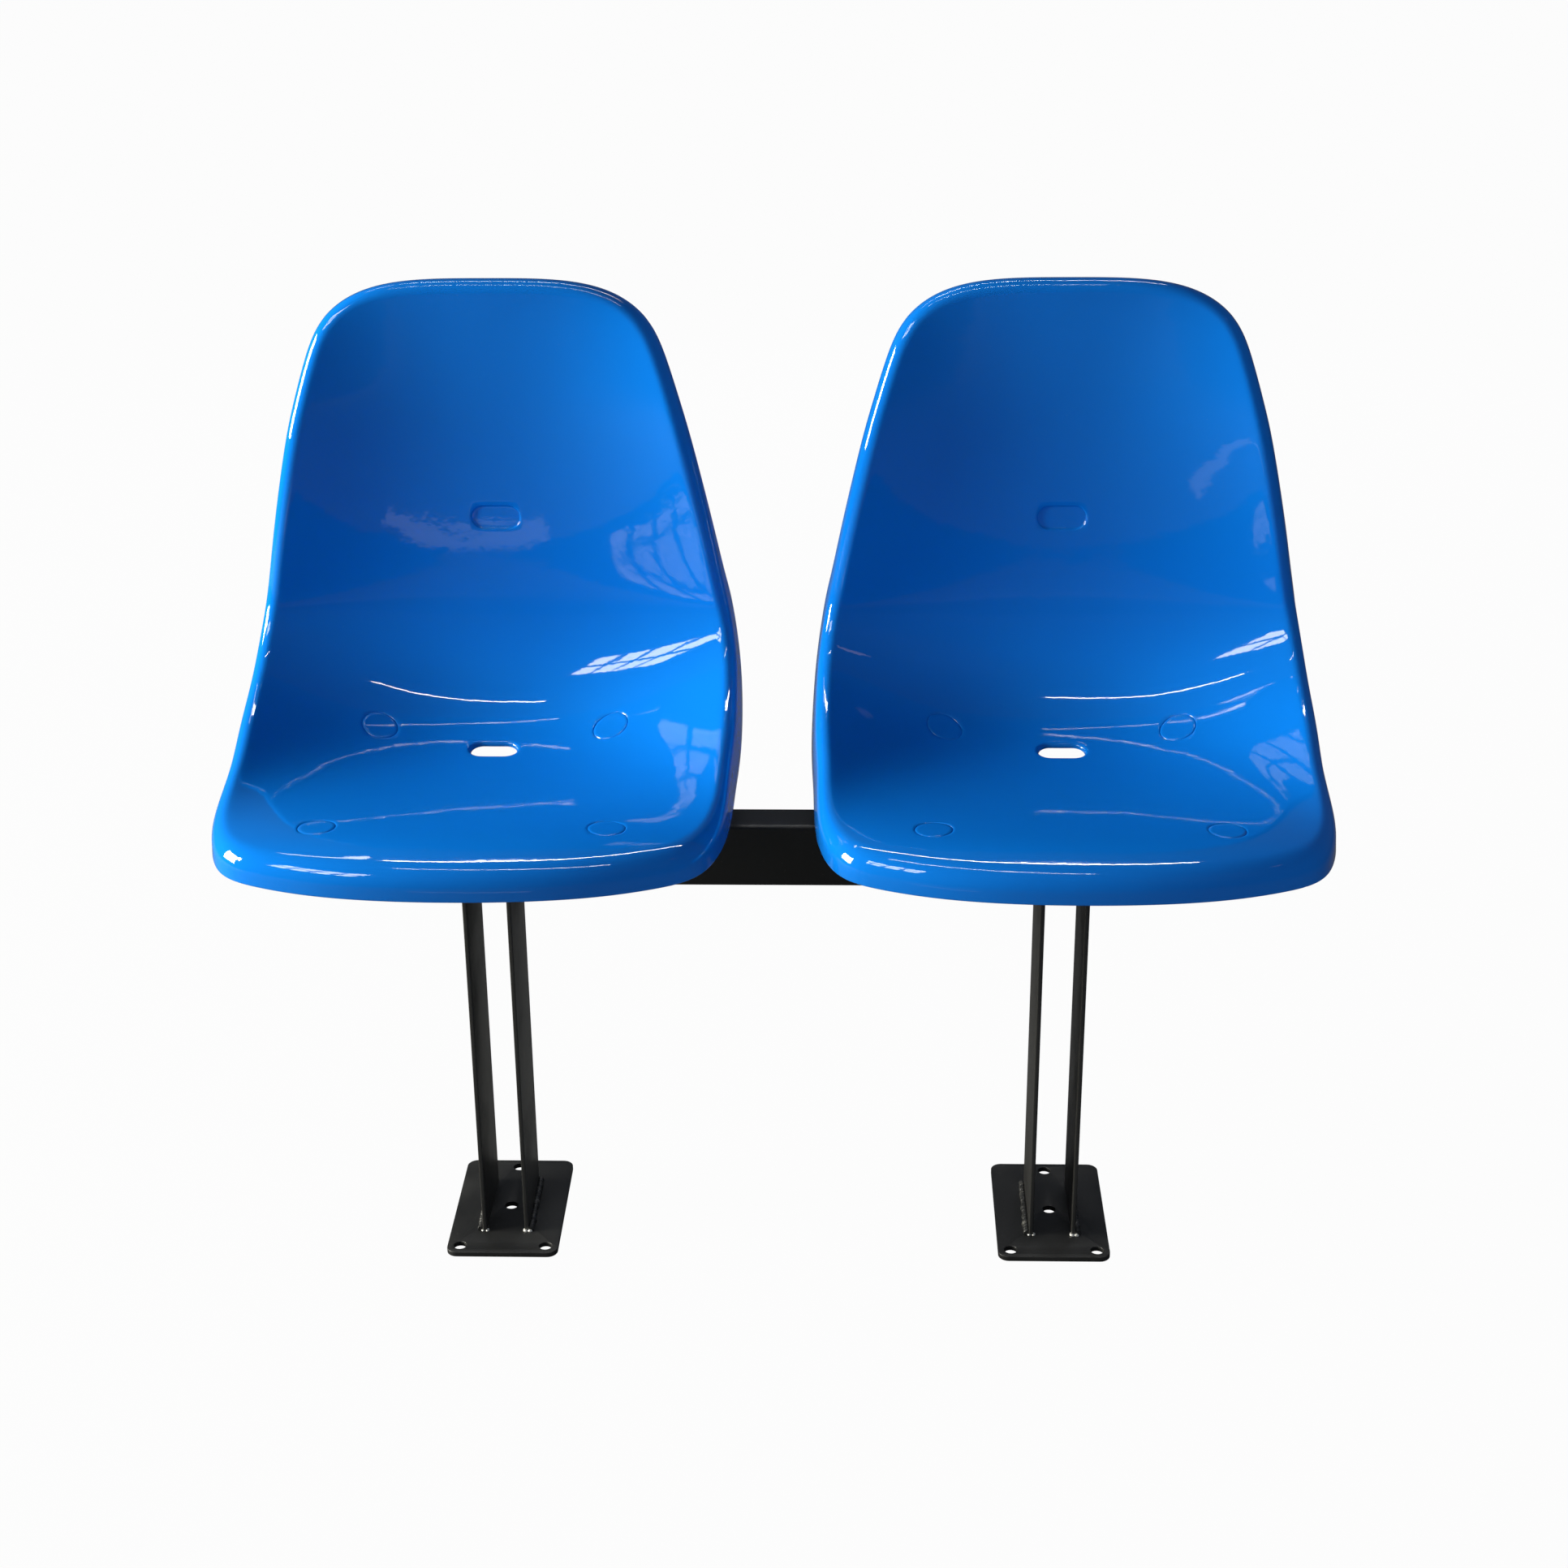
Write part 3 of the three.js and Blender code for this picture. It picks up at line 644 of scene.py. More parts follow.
def seat_features():
    """The drain slot with its rounded mouth, the blind oval in the back and the rings on the pan."""
    turns = [pi / 2 * (1 - k / mouth_steps) for k in range(mouth_steps + 1)]
    mouth = [(drain_fillet * (1 - cos(a)), drain_fillet * (sin(a) - 1)) for a in turns]
    recess = [(out * recess_edge, level * recess_depth) for out, level in recess_profile]
    ring = [(out * ring_groove, level * ring_depth) for out, level in ring_profile]
    yield Feature(0, drain_place, 1, pan_stations, drain_length, drain_width, mouth, through=True)
    yield Feature(0, recess_height, 2, back_stations, recess_length, recess_width, recess)
    for _, _, x, y in bolt_places():
        yield Feature(x, y, 1, pan_stations, boss_diameter, boss_diameter, ring)


def border(top, bottom, left, right):
    """The net's crossings round a block of cells, one after the other."""
    line = [(top, j) for j in range(left, right)]
    line += [(i, right) for i in range(top, bottom)]
    line += [(bottom, j) for j in range(right, left, -1)]
    line += [(i, left) for i in range(bottom, top, -1)]
    return line


class Sheet:
    """The moulding's outer face as one sheet of points and faces, which is then given its wall."""

    def __init__(self):
        self.stations, across = net_places(seat_rows, seat_columns)
        self.grid = sitting_points(self.stations, across)
        self.points = list(self.grid.reshape(-1, 3))
        self.levels = [0.0] * len(self.points)
        self.faces = []
        self.taken = np.zeros((seat_rows, seat_columns), bool)

    def numbers(self, crossings):
        """The point numbers of crossings of the net."""
        return [i * (seat_columns + 1) + j for i, j in crossings]

    def add(self, points, level):
        """Adds points that stand so far above the face, and returns their numbers."""
        first = len(self.points)
        self.points.extend(points)
        self.levels.extend([level] * len(points))
        return list(range(first, len(self.points)))

    def lead(self, ring, points, level=0.0):
        """Adds the next ring of points and the faces that lead to it."""
        after = self.add(points, level)
        for (a, b), (d, c) in zip(round_pairs(ring), round_pairs(after)):
            self.faces.append((a, b, c, d))
        return after

    def work_in(self, feature):
        """Takes out the cells round a feature and leads rings of faces in to its outline."""
        distance = np.linalg.norm(self.grid - feature.middle(), axis=2)
        i, j = np.unravel_index(np.argmin(distance), distance.shape)
        if abs(feature.x) < mm:
            j = seat_columns // 2
        cell_down = np.linalg.norm(self.grid[i + 1, j] - self.grid[i, j])
        cell_across = np.linalg.norm(self.grid[i, j + 1] - self.grid[i, j])
        reach = feature.radius + feature.rings[0][0]
        down = ceil(reach / cell_down + clear_cells)
        across = ceil((reach + feature.run) / cell_across + clear_cells)
        self.taken[i - down:i + down, j - across:j + across] = True
        line = border(i - down, i + down, j - across, j + across)[::-1]
        start = np.array([feature.flat(self.grid[crossing]) for crossing in line])
        ring = self.numbers(line)
        target = feature.outline(start, feature.rings[0][0])
        for share in lead_in_shares:
            ring = self.lead(ring, feature.points(start + (target - start) * share))
        for grown, level in feature.rings:
            ring = self.lead(ring, feature.points(feature.outline(start, grown)), level)
        if not feature.through:
            self.close(feature, ring, start)

    def close(self, feature, ring, start):
        """Closes a blind feature with shrinking rings and a last fan."""
        grown, level = feature.rings[-1]
        for share in closing_shares:
            flat = feature.outline(start, (feature.radius + grown) * share - feature.radius)
            ring = self.lead(ring, feature.points(flat), level)
        hub, = self.add([feature.middle()], level)
        self.faces += [(a, b, hub) for a, b in round_pairs(ring)]

    def face_cells(self):
        """Faces for the cells that no feature has taken."""
        for i, j in np.argwhere(~self.taken):
            self.faces.append(self.numbers([(i, j), (i + 1, j), (i + 1, j + 1), (i, j + 1)]))

    def roll_rim(self):
        """Rolls the rim outwards and over into its flange, all round."""
        line = border(0, seat_rows, 0, seat_columns)
        ring = self.numbers(line)
        i, j = np.array(line).T
        rim, share = self.grid[i, j], self.stations[i, j]
        inside = self.grid[np.clip(i, 1, seat_rows - 1), np.clip(j, 1, seat_columns - 1)]
        way = unit(np.roll(rim, -1, 0) - np.roll(rim, 1, 0))
        away = unit(square_to(rim - inside, way))
        x = np.clip((share - 1 + lip_blend_share) / lip_blend_share, 0, 1)
        lip = (x * x * (3 - 2 * x))[:, None]
        back = unit(flange_ways(share, lip) + away * sin(flange_flare) * (1 - lip))
        roll = rim_roll + (lip_roll - rim_roll) * lip
        fall = flange_drop * along(flange_drop_shares, share)[:, None]
        fall = fall + (lip_drop - fall) * lip
        dot = np.sum(away * back, 1)[:, None]
        over = unit(back - away * dot)
        angle = np.arccos(np.clip(dot, -1, 1))
        for k in range(1, roll_steps + 1):
            turn = angle * k / roll_steps
            points = rim + away * roll * np.sin(turn) + over * roll * (1 - np.cos(turn))
            ring = self.lead(ring, points)
        for k in range(1, flange_steps + 1):
            ring = self.lead(ring, points + back * fall * k / flange_steps)
        self.edge = ring

    def thickened(self):
        """The closed moulding: outer face, inner face a wall below it, and the edges between them."""
        used = np.unique([n for face in self.faces for n in face])
        place = np.zeros(len(self.points), int)
        place[used] = np.arange(len(used))
        outer_faces = [tuple(place[list(face)]) for face in self.faces]
        points = np.array(self.points)[used]
        normals = vertex_normals(points, outer_faces)
        outer = points + normals * np.array(self.levels)[used][:, None]
        inner = points - normals * shell_wall
        count = len(points)
        faces = outer_faces + [tuple(n + count for n in reversed(f)) for f in outer_faces]
        sides = dict.fromkeys(pair for face in outer_faces for pair in round_pairs(face))
        faces += [(b, a, a + count, b + count) for a, b in sides if (b, a) not in sides]
        piece = mesh_piece("seat_moulding", np.concatenate([outer, inner]), faces, blue)
        edge = set(place[self.edge])
        round_edge(piece.data, edge | {n + count for n in edge}, flange_edge_round)
        return piece


def flange_ways(t, lip):
    """Where the flange points: square to the rim line from the side, straight down at the lip."""
    before, after = np.maximum(t - station_step, 0), np.minimum(t + station_step, 1)
    forwards = (along(rim_reach_shares, before) - along(rim_reach_shares, after)) * seat_reach
    downwards = (along(rim_rise_shares, before) - along(rim_rise_shares, after)) * seat_rise
    square = unit(np.stack([0 * t, downwards, -forwards], 1))
    return unit(square * (1 - lip) + np.array([0, 0, -1]) * lip)


def vertex_normals(points, faces):
    """The normal at each point, where each face weighs with its area."""
    normals = np.zeros_like(points)
    for size in (3, 4):
        corners = np.array([f for f in faces if len(f) == size]).T
        a, b, c, d = points[corners[[0, 1, 2, -1]]]
        square = np.cross(c - a, d - b)
        for corner in corners:
            np.add.at(normals, corner, square)
    return unit(normals)


def lathe(name, profile, finish, steps=round_steps, closed=False, ripple=None):
    """A turned piece round Z from radius and height pairs, closed on the axis or on itself."""
    points = []
    for radius, height in profile:
        for turn in np.linspace(0, 2 * pi, steps, endpoint=False):
            r = radius + (ripple(turn, radius, height) if ripple else 0)
            points.append((r * cos(turn), r * sin(turn), height))
    faces = ring_faces(steps, len(profile))
    last = len(points) - steps
    if closed:
        faces += [(last + a, last + b, b, a) for a, b in round_pairs(range(steps))]
    else:
        faces += [tuple(reversed(range(steps))), tuple(range(last, len(points)))]
    return mesh_piece(name, points, faces, finish)


def boss(x, y):
    """One boss with its blind hole for the insert, its top sunk in the pan's wall."""
    turns = np.linspace(0, 2 * pi, round_steps, endpoint=False)
    ways = np.stack([np.cos(turns), np.sin(turns), 0 * turns], 1)
    radius = boss_diameter / 2
    hole = insert_diameter / 2 + fit_gap
    depth = insert_length + fit_gap
    top = points_over(x + ways[:, 0] * radius, y + ways[:, 1] * radius, 1, pan_stations)
    rings = [top - np.array([0, 0, shell_wall * root_share])]
    profile = [(radius, boss_edge), (radius - boss_edge, 0), (hole + boss_edge, 0), (hole, boss_edge)]
    for r, z in (*profile, (hole, depth)):
        rings.append(np.array([x, y, z]) + ways * r)
    faces = [tuple(reversed(f)) for f in ring_faces(round_steps, len(rings))]
    faces.append(tuple(range(round_steps)))
    count = len(rings) * round_steps
    faces.append(tuple(reversed(range(count - round_steps, count))))
    return mesh_piece("boss", np.concatenate(rings), faces, blue)


def rib(x_from, x_to, y, level):
    """A rib across the seat whose top runs inside the pan's wall."""
    x = np.linspace(x_from, x_to, rib_steps)
    height = points_over(x, y, 1, pan_stations)[:, 2] - shell_wall * root_share
    points = []
    for place, top in zip(x, height):
        low = min(level, top - least_rib)
        for side, z in ((-1, low), (1, low), (1, top), (-1, top)):
            points.append((place, y + side * boss_rib / 2, z))
    faces = [tuple(reversed(f)) for f in ring_faces(4, len(x))]
    faces += [(0, 1, 2, 3), tuple(reversed(range(len(points) - 4, len(points))))]
    return mesh_piece("rib", points, faces, blue)


def seat_moulding():
    """A seat's one moulding: sheet with its features, wall, rim and flange, bosses and ribs."""
    sheet = Sheet()
    for feature in seat_features():
        sheet.work_in(feature)
    sheet.face_cells()
    sheet.roll_rim()
    shell = sheet.thickened()
    outer = seat_half_width - rim_roll
    between_bosses = (rear_bolt_spread - boss_diameter) / 2
    tools = [
        rib(-front_bolt_spread / 2, front_bolt_spread / 2, front_bolt_place, front_rib_level),
        rib(-between_bosses, between_bosses, middle_rib_place, middle_rib_level),
    ]
    for name, side, x, y in bolt_places():
        level = front_rib_level if name.startswith("front") else rear_rib_level
        tools += [rib(x, side * outer, y, level), boss(x, y)]
    for piece in (*tools, shell):
        outwards(piece.data)
    return combined(shell, tools, "UNION")


def arc(x, y, radius, start, end, steps=corner_steps):
    """Points of an arc round x and y, from one number of quarter turns to another."""
    turns = [pi / 2 * (start + (end - start) * k / steps) for k in range(steps + 1)]
    return [(x + radius * cos(a), y + radius * sin(a)) for a in turns]


def circle(x, y, diameter, steps=round_steps):
    return arc(x, y, diameter / 2, 0, 4, steps)[:-1]


def rounded_rectangle(width, height, radius, steps=corner_steps):
    points = []
    for n, (sx, sy) in enumerate(((1, 1), (-1, 1), (-1, -1), (1, -1))):
        points += arc(sx * (width / 2 - radius), sy * (height / 2 - radius), radius, n, n + 1, steps)
    return points


def outline_prism(name, outline, holes, depth, edge, finish, matrix):
    """A flat outline with holes, raised along Z from 0 to depth, with small rounded edges."""
    curve = bpy.data.curves.new(name, "CURVE")
    curve.dimensions = "2D"
    curve.fill_mode = "BOTH"
    curve.extrude = depth / 2 - edge
    curve.bevel_depth = edge
    curve.bevel_resolution = 2
    curve.offset = -edge
    for points in [outline, *holes]:
        spline = curve.splines.new("POLY")
        spline.points.add(len(points) - 1)
        for point, (x, y) in zip(spline.points, points):
            point.co = (x, y, 0, 1)
        spline.use_cyclic_u = True
    helper = in_scene(name, curve)
    mesh = evaluated_mesh(helper)
    drop(helper)
    mesh.transform(Matrix.Translation((0, 0, depth / 2)))
    mesh.transform(matrix)
    outwards(mesh)
    return dressed(name, mesh, finish)


def flat_steel(node, corner, steps, edge, finish, holes=()):
    """Steel that fills its CAD node's box, its corners rounded in plan."""
    low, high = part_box(node)
    size = high - low
    outline = rounded_rectangle(size.x, size.y, corner, steps)
    middle = Matrix.Translation(((low.x + high.x) / 2, (low.y + high.y) / 2, low.z))
    return outline_prism(f"{node}_steel", outline, holes, size.z, edge, finish, middle)


def foot_plate(node):
    """A plate with an anchor hole in its two front corners, its middle and its rear middle."""
    low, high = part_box(node)
    size = high - low
    x = size.x / 2 - plate_hole_inset
    y = size.y / 2 - plate_hole_inset
    holes = [circle(*place, plate_hole) for place in ((-x, -y), (x, -y), (0, 0), (0, y))]
    return flat_steel(node, plate_corner, corner_steps, plate_edge, paint, holes)


def inner_section(size, inset):
    """A section that lies so far inside the beam's outside."""
    return rounded_rectangle(size.y - 2 * inset, size.z - 2 * inset, beam_corner - beam_wall)


def beam_tube():
    """The rectangular tube, open at both ends."""
    size = beam_high - beam_low
    outline = rounded_rectangle(size.y, size.z, beam_corner)
    end = Vector((beam_low.x, (beam_low.y + beam_high.y) / 2, (beam_low.z + beam_high.z) / 2))
    bore = inner_section(size, beam_wall)
    return outline_prism("beam_steel", outline, [bore], size.x, tube_edge, paint, basis(Y, Z, X, end))


def beam_cap(node):
    """A cap: a flange over the beam's end and a hollow plug inside it."""
    low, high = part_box(node)
    size = high - low
    end_x, inwards = (low.x, X) if high.x < 0 else (high.x, -X)
    end = Vector((end_x, (low.y + high.y) / 2, (low.z + high.z) / 2))
    axes = (inwards.cross(Z) * -1, Z, inwards)
    outline = rounded_rectangle(size.y, size.z, beam_corner)
    turn = basis(*axes, end)
    cap = outline_prism(f"{node}_moulding", outline, [], cap_flange, cap_edge, cap_finish, turn)
    inset = beam_wall + fit_gap
    plug, bore = inner_section(size, inset), inner_section(size, inset + cap_wall)
    turn = basis(*axes, end + inwards * cap_flange / 2)
    tool = outline_prism("plug", plug, [bore], size.x - cap_flange / 2, tube_edge, cap_finish, turn)
    return combined(cap, [tool], "UNION")


def seat_arm(name, side):
    """A pressed angle: flat flange under the seat, tapered web that stands on the beam."""
    reach = hypot(arm_run, arm_toe)
    length = reach + 2 * arm_overhang
    half = arm_width / 2
    outer = arm_steel + arm_bend
    section = arc(outer - half, -outer, outer, 1, 2)
    section += [(-half, -arm_width), (arm_steel - half, -arm_width)]
    section += arc(outer - half, -outer, arm_bend, 2, 1)
    section += [(half, -arm_steel), (half, 0)]
    section = [(side * x, z) for x, z in section]
    turn = basis(X, Z, -Y, Vector((0, length / 2, 0)))
    angle = outline_prism(name, section, [], length, arm_edge, paint, turn)
    spare = mm
    end = length / 2 + spare
    foot = beam_depth / 2 + arm_foot_spare
    beam_place = -(rear_bolt_place + front_bolt_place) / 2
    wall = [
        (-end, spare),
        (-end, -arm_tip_depth),
        (beam_place - foot - arm_shoulder, -arm_width + arm_shoulder / 2),
        (beam_place - foot, -arm_width),
        (beam_place + foot, -arm_width),
        (end, -arm_tip_depth),
        (end, spare),
    ]

    def tool(outline, depth, matrix):
        return outline_prism("tool", outline, [], depth, 0, paint, matrix)

    side_form = tool(wall, 2 * arm_width, basis(Y, Z, X, Vector((-arm_width, 0, 0))))
    plan = rounded_rectangle(arm_width, length, arm_corner)
    plan_form = tool(plan, 2 * arm_width, Matrix.Translation((0, 0, -1.5 * arm_width)))
    arm = combined(angle, [side_form, plan_form], "INTERSECT")
    below = Matrix.Translation((0, 0, -arm_width / 4))
    hole = bolt_size + 2 * arm_hole_slack
    drills = [tool(circle(0, y, hole), arm_width / 2, below) for y in (-reach / 2, reach / 2)]
    return combined(arm, drills, "DIFFERENCE")


def thread_ripple(turn, radius, height):
    """How far the thread's root lies below its crest at one place."""
    phase = (height / thread_pitch - turn / (2 * pi)) % 1
    return -thread_depth * abs(2 * phase - 1)


def hexagon_bolt():
    """Hexagon bolt seen from below: chamfered head, shank with a cut thread."""
    seat_level = -arm_steel - washer_thickness
    head = bolt_size * head_height_share
    flat = bolt_size * head_across_share / 2
    corner = flat / cos(pi / 6)
    bottom = seat_level - head
    spare = 0.1 * mm
    place = Matrix.Translation((0, 0, bottom))
    body = outline_prism("hexagon_bolt", circle(0, 0, 2 * corner, 6), [], head, 0, zinc, place)
    chamfer = corner - flat
    profile = [
        (flat - 2 * spare, bottom - spare),
        (flat - 2 * spare, bottom),
        (corner + spare, bottom + chamfer * head_chamfer_share),
        (corner + spare, seat_level - chamfer * collar_chamfer_share),
        (flat, seat_level),
        (flat, seat_level + spare),
    ]
    body = combined(body, [lathe("chamfer", profile, zinc)], "INTERSECT")
    tip = insert_length - fit_gap
    crest = bolt_size / 2
    rows = round((tip - seat_level) / thread_pitch * thread_steps)
    levels = [seat_level - fit_gap + (tip - seat_level + fit_gap) * k / rows for k in range(rows + 1)]
    shank = [(crest, z) for z in levels[:-2]]
    shank += [(crest - thread_depth, levels[-2]), (crest - shank_taper_share * thread_depth, tip)]
    shank = lathe("shank", shank, zinc, shank_round_steps, ripple=thread_ripple)
    return combined(body, [shank], "UNION")


def flat_washer():
    bore = bolt_size / 2 + fit_gap
    rim = washer_diameter / 2
    top = -arm_steel
    bottom = top - washer_thickness
    r, near = washer_round, washer_round_middle
    profile = [(bore, bottom), (rim - r, bottom), (rim - near, bottom + near), (rim, bottom + r)]
    profile += [(rim, top - r), (rim - near, top - near), (rim - r, top), (bore, top)]
    return lathe("flat_washer", profile, zinc, closed=True)


def knurl_ripple(turn, radius, height):
    """Crossed knurling on the outside of the insert, none on its groove and bore."""
    if radius < insert_diameter / 2 - merge_distance:
        return 0
    lead = height / insert_length * knurl_lead
    wave = sin(knurl_teeth * turn + lead) * sin(knurl_teeth * turn - lead)
    return -knurl_depth * wave * wave


def threaded_insert():
    """A knurled bush with a groove round its middle third."""
    bore = bolt_size / 2 + fit_gap
    outer = insert_diameter / 2
    groove = outer - insert_groove
    third = insert_length / 3
    profile = [(bore, 0)]
    profile += [(outer, third * k / land_steps) for k in range(land_steps + 1)]
    profile += [(groove, third + insert_groove), (groove, 2 * third - insert_groove)]
    profile += [(outer, 2 * third + third * k / land_steps) for k in range(land_steps + 1)]
    profile.append((bore, insert_length))
    return lathe("threaded_insert", profile, brass, knurl_round_steps, closed=True, ripple=knurl_ripple)


class Recipe(Nodes):
    """A Geometry Nodes tree with named inputs for its sizes."""

    def __init__(self, name, **inputs):
        super().__init__(bpy.data.node_groups.new(name, "GeometryNodeTree"))
        self.identifiers = {}
        for key, kind in {"Geometry": "Geometry", **inputs}.items():
            self.identifiers[key] = self.socket(key, kind, "INPUT").identifier
        self.socket("Geometry", "Geometry", "OUTPUT")

    def socket(self, key, kind, way):
        return self.tree.interface.new_socket(key, in_out=way, socket_type=f"NodeSocket{kind}")

    def given(self, key):
        return self.node("NodeGroupInput", {}, {}, key)

    def finish(self, geometry):
        """Realizes what was instanced, sets the material and closes the tree."""
        real = self.node("GeometryNodeRealizeInstances", {}, {"Geometry": geometry})
        inputs = {"Geometry": real, "Material": self.given("Finish")}
        self.node("NodeGroupOutput", {}, {0: self.node("GeometryNodeSetMaterial", {}, inputs)})
        return self

    def made(self, name, **values):
        """Runs the recipe with these values and returns the result as a plain piece."""
        helper = in_scene(name, bpy.data.meshes.new(name))
        modifier = helper.modifiers.new("recipe", "NODES")
        modifier.node_group = self.tree
        for key, value in values.items():
            modifier[self.identifiers[key]] = value
        mesh = evaluated_mesh(helper)
        drop(helper)
        return dressed(name, mesh, values["Finish"], bead_sharp_angle)


def weld_recipe():
    """A hand-laid bead: a swept round whose size ripples with each stroke, roughened a little."""
    recipe = Recipe(
        "weld_bead", Start="Vector", End="Vector", Radius="Float", Strokes="Int",
        Roughening="Float", Seed="Int", Finish="Material",
    )
    node, given = recipe.node, recipe.given
    strokes, seed = given("Strokes"), given("Seed")
    line = node("GeometryNodeCurvePrimitiveLine", {}, {"Start": given("Start"), "End": given("End")})
    fine = node("GeometryNodeResampleCurve", {}, {"Curve": line, "Count": strokes * stroke_steps})
    factor = node("GeometryNodeSplineParameter", {}, {}, "Factor")
    arch = recipe.math("SINE", recipe.math("FRACT", factor * strokes) * pi)
    waver = {"W": factor * waver_rate + seed, "Scale": 1.0}
    uneven = node("ShaderNodeTexNoise", {"noise_dimensions": "1D"}, waver)
    size = (arch * stroke_swell + (uneven + least_swell)) * given("Radius")
    outline = node("GeometryNodeCurvePrimitiveCircle", {}, {"Resolution": bead_steps, "Radius": 1.0})
    swept = {"Curve": fine, "Profile Curve": outline, "Scale": size, "Fill Caps": True}
    bead = node("GeometryNodeCurveToMesh", {}, swept)
    lumps = {"W": seed, "Scale": lump_scale}
    lumps = node("ShaderNodeTexNoise", {"noise_dimensions": "4D"}, lumps, "Color")
    centred = node("ShaderNodeVectorMath", {"operation": "SUBTRACT"}, {0: lumps, 1: (0.5, 0.5, 0.5)})
    shift = {0: centred, "Scale": given("Roughening")}
    shift = node("ShaderNodeVectorMath", {"operation": "SCALE"}, shift)
    return recipe.finish(node("GeometryNodeSetPosition", {}, {"Geometry": bead, "Offset": shift}))


def spatter_recipe():
    """Small round drops scattered in a box, flattened on what they fell on."""
    recipe = Recipe(
        "weld_spatter", Low="Vector", High="Vector", Drops="Int", Radius="Float",
        Seed="Int", Finish="Material",
    )
    node, given = recipe.node, recipe.given

    def random_vector(low, high):
        inputs = {0: low, 1: high, "Seed": given("Seed")}
        return node("FunctionNodeRandomValue", {"data_type": "FLOAT_VECTOR"}, inputs)

    place = random_vector(given("Low"), given("High"))
    cloud = node("GeometryNodePoints", {}, {"Count": given("Drops"), "Position": place})
    form = node("GeometryNodeMeshIcoSphere", {}, {"Radius": given("Radius"), "Subdivisions": 3})
    size = random_vector(smallest_drop, largest_drop)
    inputs = {"Points": cloud, "Instance": form, "Scale": size}
    return recipe.finish(node("GeometryNodeInstanceOnPoints", {}, inputs))


def lay_weld(node):
    """Lays a bead where the CAD model has its plain fillet."""
    low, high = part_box(node)
    spots = np.array([v.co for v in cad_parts[node].data.vertices])
    middle = (low.y + high.y) / 2
    bead = beads.made(
        f"{node}_bead",
        Start=tuple(spots[spots[:, 1] < middle].mean(0)),
        End=tuple(spots[spots[:, 1] > middle].mean(0)),
        Radius=weld_leg * bead_share,
        Strokes=max(least_strokes, round((high.y - low.y) / (stroke_share * weld_leg))),
        Roughening=bead_roughness,
        Seed=sum(ord(letter) for letter in node) % bead_seeds,
        Finish=bead_finish,
    )
    fitted(bead, "black_paint", [node])


def add_copy(part, name, slot, node, matrix):
    """Sets a copy of one of the parts in its place."""
    fitted(in_scene(name, parts[part].data.copy()), slot, [node], matrix)


fasteners = {
    "hexagon_bolt": ("fastener_zinc", "bolt"),
    "flat_washer": ("fastener_zinc", "washer"),
    "threaded_insert": ("insert_brass", "insert"),
}


def add_seat(name, side):
    """One seat: moulding, fasteners and the two arms under it."""
    origin = Vector((side * seat_pitch / 2, row_shift, bolt_plane_height))
    place = Matrix.Translation(origin)
    add_copy("seat_moulding", f"{name}_seat_moulding", "seat_plastic", f"{name}_seat_shell", place)
    for place_name, _, x, y in bolt_places():
        spot = Matrix.Translation(origin + Vector((x, y, 0)))
        stem = f"{name}_seat_{place_name}"
        for part, (slot, node) in fasteners.items():
            add_copy(part, f"{stem}_{part}", slot, f"{stem}_{node}", spot)
    y = (front_bolt_place + rear_bolt_place) / 2
    for arm_side, arm_name in ((-1, "left"), (1, "right")):
        stem = f"{name}_seat_{arm_name}_arm"
        middle = Vector((arm_side * (front_bolt_spread + rear_bolt_spread) / 4, y, 0))
        splay = Matrix.Rotation(arm_side * atan2(arm_toe, arm_run), 4, "Z")
        turn = Matrix.Translation(origin + middle) @ splay
        add_copy(f"{arm_name}_arm", f"{stem}_steel", "black_paint", stem, turn)
        lay_weld(f"{stem}_weld")


def add_leg(name):
    """One leg: plate, two bars, their welds and the bright run-outs at the bars' front feet."""
    plate = f"{name}_foot_plate"
    fitted(foot_plate(plate), "black_paint", [plate])
    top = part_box(plate)[1].z
    for number, bar_side in enumerate(("left", "right")):
        bar = f"{name}_leg_{bar_side}_bar"
        steel = flat_steel(bar, bar_edge, bar_corner_steps, bar_end_edge, bar_paint)
        fitted(steel, "black_paint", [bar])
        lay_weld(f"{bar}_foot_weld")
        lay_weld(f"{bar}_beam_weld")
        low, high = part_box(bar)
        for edge, x in (("inner", low.x), ("outer", high.x)):
            piece = drops.made(
                f"{bar}_{edge}_runout",
                Low=(x - runout_reach / 2, low.y - runout_reach, top),
                High=(x + runout_reach / 2, low.y + runout_reach, top + runout_height),
                Drops=runout_drops,
                Radius=drop_radius,
                Seed=first_drop_seed + number,
                Finish=spatter_finish,
            )
            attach(piece, "root")


beads = weld_recipe()
drops = spatter_recipe()
parts = {
    "seat_moulding": seat_moulding(),
    "hexagon_bolt": hexagon_bolt(),
    "flat_washer": flat_washer(),
    "threaded_insert": threaded_insert(),
    "left_arm": seat_arm("left_arm", -1),
    "right_arm": seat_arm("right_arm", 1),
}
for seat_name, seat_side in (("left", -1), ("right", 1)):
    add_seat(seat_name, seat_side)
    add_leg(seat_name)
for pattern in parts.values():
    drop(pattern)
fitted(beam_tube(), "black_paint", ["beam"])
for cap_node in ("beam_left_cap", "beam_right_cap"):
    fitted(beam_cap(cap_node), "cap_plastic", [cap_node])


# Stage: floor, world, lamps and camera
backdrop_level = 0.973
backdrop_share = 0.97
mirrored_share = 0.025
floor_shade = 0.09
floor_half = 30
floor_level = -0.1 * mm
sky_tint = colour(0.72, 0.82, 1.0)
sky_strength = 0.07
seat_middle = Vector((0, 0, 0.62))


def grey(level):
    return colour(level, level, level)


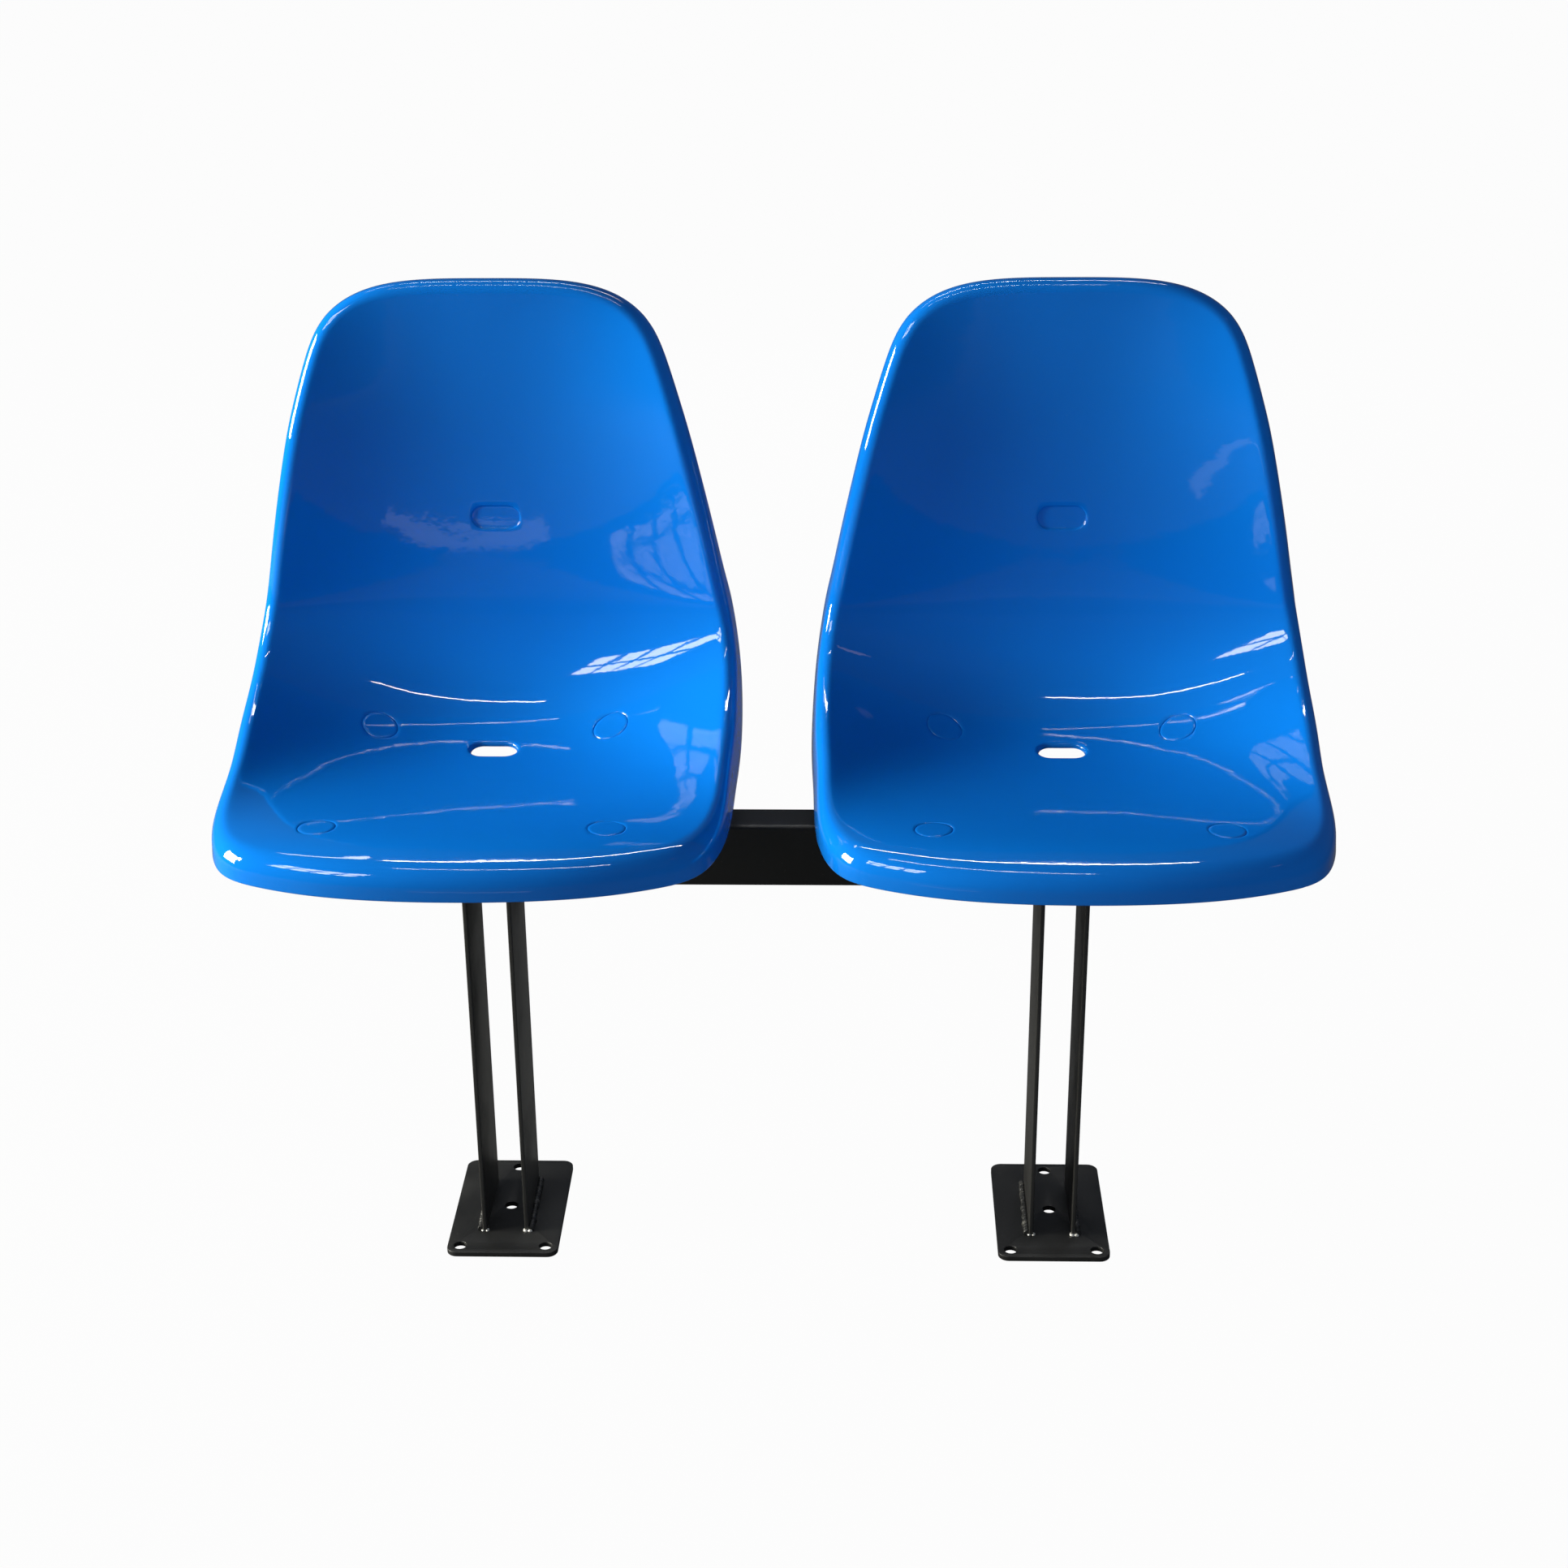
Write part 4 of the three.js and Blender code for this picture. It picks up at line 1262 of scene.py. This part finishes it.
def studio_floor():
    """A wide floor that darkens in the bench's shade and otherwise looks like the white backdrop."""
    finish = Finish("studio_floor")
    lit = finish.node("ShaderNodeBsdfDiffuse", {}, {"Color": grey(floor_shade)}, "BSDF")
    glow = {"Color": grey(backdrop_level), "Strength": 1 / backdrop_share}
    glow = finish.node("ShaderNodeEmission", {}, glow, "Emission")
    mirrored = finish.ray("Glossy") * mirrored_share
    factor = finish.math("MAXIMUM", finish.seen_directly(), mirrored) * backdrop_share
    mixed = finish.node("ShaderNodeMixShader", {}, {"Fac": factor, 1: lit, 2: glow}, "Shader")
    corners = ((-1, -1), (1, -1), (1, 1), (-1, 1))
    points = [(x * floor_half, y * floor_half, floor_level) for x, y in corners]
    floor = mesh_piece("studio_floor", points, [(0, 1, 2, 3)], finish.closed(mixed))


def studio_world():
    """Faint bluish light from all sides, and the white backdrop for the camera."""
    world = bpy.data.worlds.new("studio")
    world.use_nodes = True
    sky = Nodes(world.node_tree)
    soft = sky.node("ShaderNodeBackground", {}, {"Color": sky_tint, "Strength": sky_strength})
    pale = sky.node("ShaderNodeBackground", {}, {"Color": grey(backdrop_level)})
    mixed = sky.node("ShaderNodeMixShader", {}, {"Fac": sky.seen_directly(), 1: soft, 2: pale})
    sky.node("ShaderNodeOutputWorld", {}, {"Surface": mixed})
    bpy.context.scene.world = world


def from_seats(azimuth, elevation, distance):
    """A place round the seats: azimuth in degrees from the front towards +X, elevation in degrees."""
    turn, rise = radians(azimuth), radians(elevation)
    way = Vector((sin(turn) * cos(rise), -cos(turn) * cos(rise), sin(rise)))
    return seat_middle + way * distance


def lamp(name, place, size, power, tint=(1, 1, 1), target=seat_middle):
    """A soft panel of the given width and height that faces the target."""
    data = bpy.data.lights.new(name, "AREA")
    data.shape = "RECTANGLE"
    data.size, data.size_y = size
    data.energy = power
    data.color = tint
    panel = in_scene(name, data)
    panel.location = place
    panel.rotation_mode = "QUATERNION"
    panel.rotation_quaternion = (target - place).to_track_quat("-Z", "Y")
    panel.visible_camera = False
    return panel


def fill(name, place, size, power, tint):
    """A panel that lightens shade and leaves no mirror image in the gloss."""
    lamp(name, place, size, power, tint).visible_glossy = False


def mirror_panel(name, place, size, level, tint=(1, 1, 1), target=seat_middle):
    """A panel of the given brightness that only shows as a mirror image in the gloss."""
    lamp(name, place, size, level * pi * size[0] * size[1], tint, target).visible_diffuse = False


def studio_lamps():
    """A window on the left, four fills, and the panels whose mirror images lie in the gloss."""
    lamp("side_window", from_seats(-85, 12, 3.4), (1.4, 1.4), 335, (1, 0.98, 0.86))
    fill("right_fill", from_seats(35, 30, 3.4), (1.6, 1.6), 18, (0.75, 0.85, 1))
    fill("front_fill", from_seats(8, -3, 3.4), (2.4, 0.8), 19, (0.8, 0.9, 1))
    fill("rear_right_fill", from_seats(150, 35, 3.4), (1.6, 1.6), 18, (0.75, 0.85, 1))
    fill("rear_fill", from_seats(180, 8, 3.4), (2.4, 1.2), 60, (0.9, 0.95, 1))
    mirror_panel("overhead_strip", Vector((-0.22, -0.7, 3.0)), (1.6, 0.034), 48)
    mirror_panel("rear_overhead_strip", Vector((0, 1.27, 3.0)), (1.95, 0.085), 42)
    mirror_panel("rear_overhead_end", Vector((-1.3, 1.27, 3.0)), (0.65, 0.085), 12)
    for column in range(4):
        for row in range(2):
            place = from_seats(-34 - 7 * column, 32 + 7 * row, 8)
            mirror_panel(f"window_pane_{column}_{row}", place, (0.62, 0.78), 14)
    mirror_panel("warm_glint", from_seats(62, 41, 8), (0.5, 0.25), 1.4, (1, 0.75, 0.65))
    ground = Vector((-0.36, -1.27, 0.02))
    mirror_panel("front_ground", ground, (0.5, 0.11), 0.7, target=ground + Z)


def camera():
    """The photograph's view: focal length in picture points, place on the floor plan, three turns."""
    picture = 1932
    focal = 3200
    pitch, yaw, roll = radians(23.89), radians(-1.67), radians(-0.48)
    data = bpy.data.cameras.new("camera")
    data.sensor_width = 36
    data.lens = data.sensor_width * focal / picture
    data.clip_start = 0.05
    data.clip_end = 120
    forward = Vector((sin(yaw) * cos(pitch), cos(yaw) * cos(pitch), -sin(pitch)))
    level = Vector((cos(yaw), -sin(yaw), 0))
    upright = level.cross(forward)
    right = cos(roll) * level + sin(roll) * upright
    up = cos(roll) * upright - sin(roll) * level
    view = in_scene("camera", data)
    place = Vector((69.83, -2130.38, 1396.71)) * mm + Vector((0, row_shift, 0))
    view.matrix_world = basis(right, up, -forward, place)
    bpy.context.scene.camera = view


studio_floor()
studio_world()
studio_lamps()
camera()
bpy.context.scene.view_settings.view_transform = "Standard"
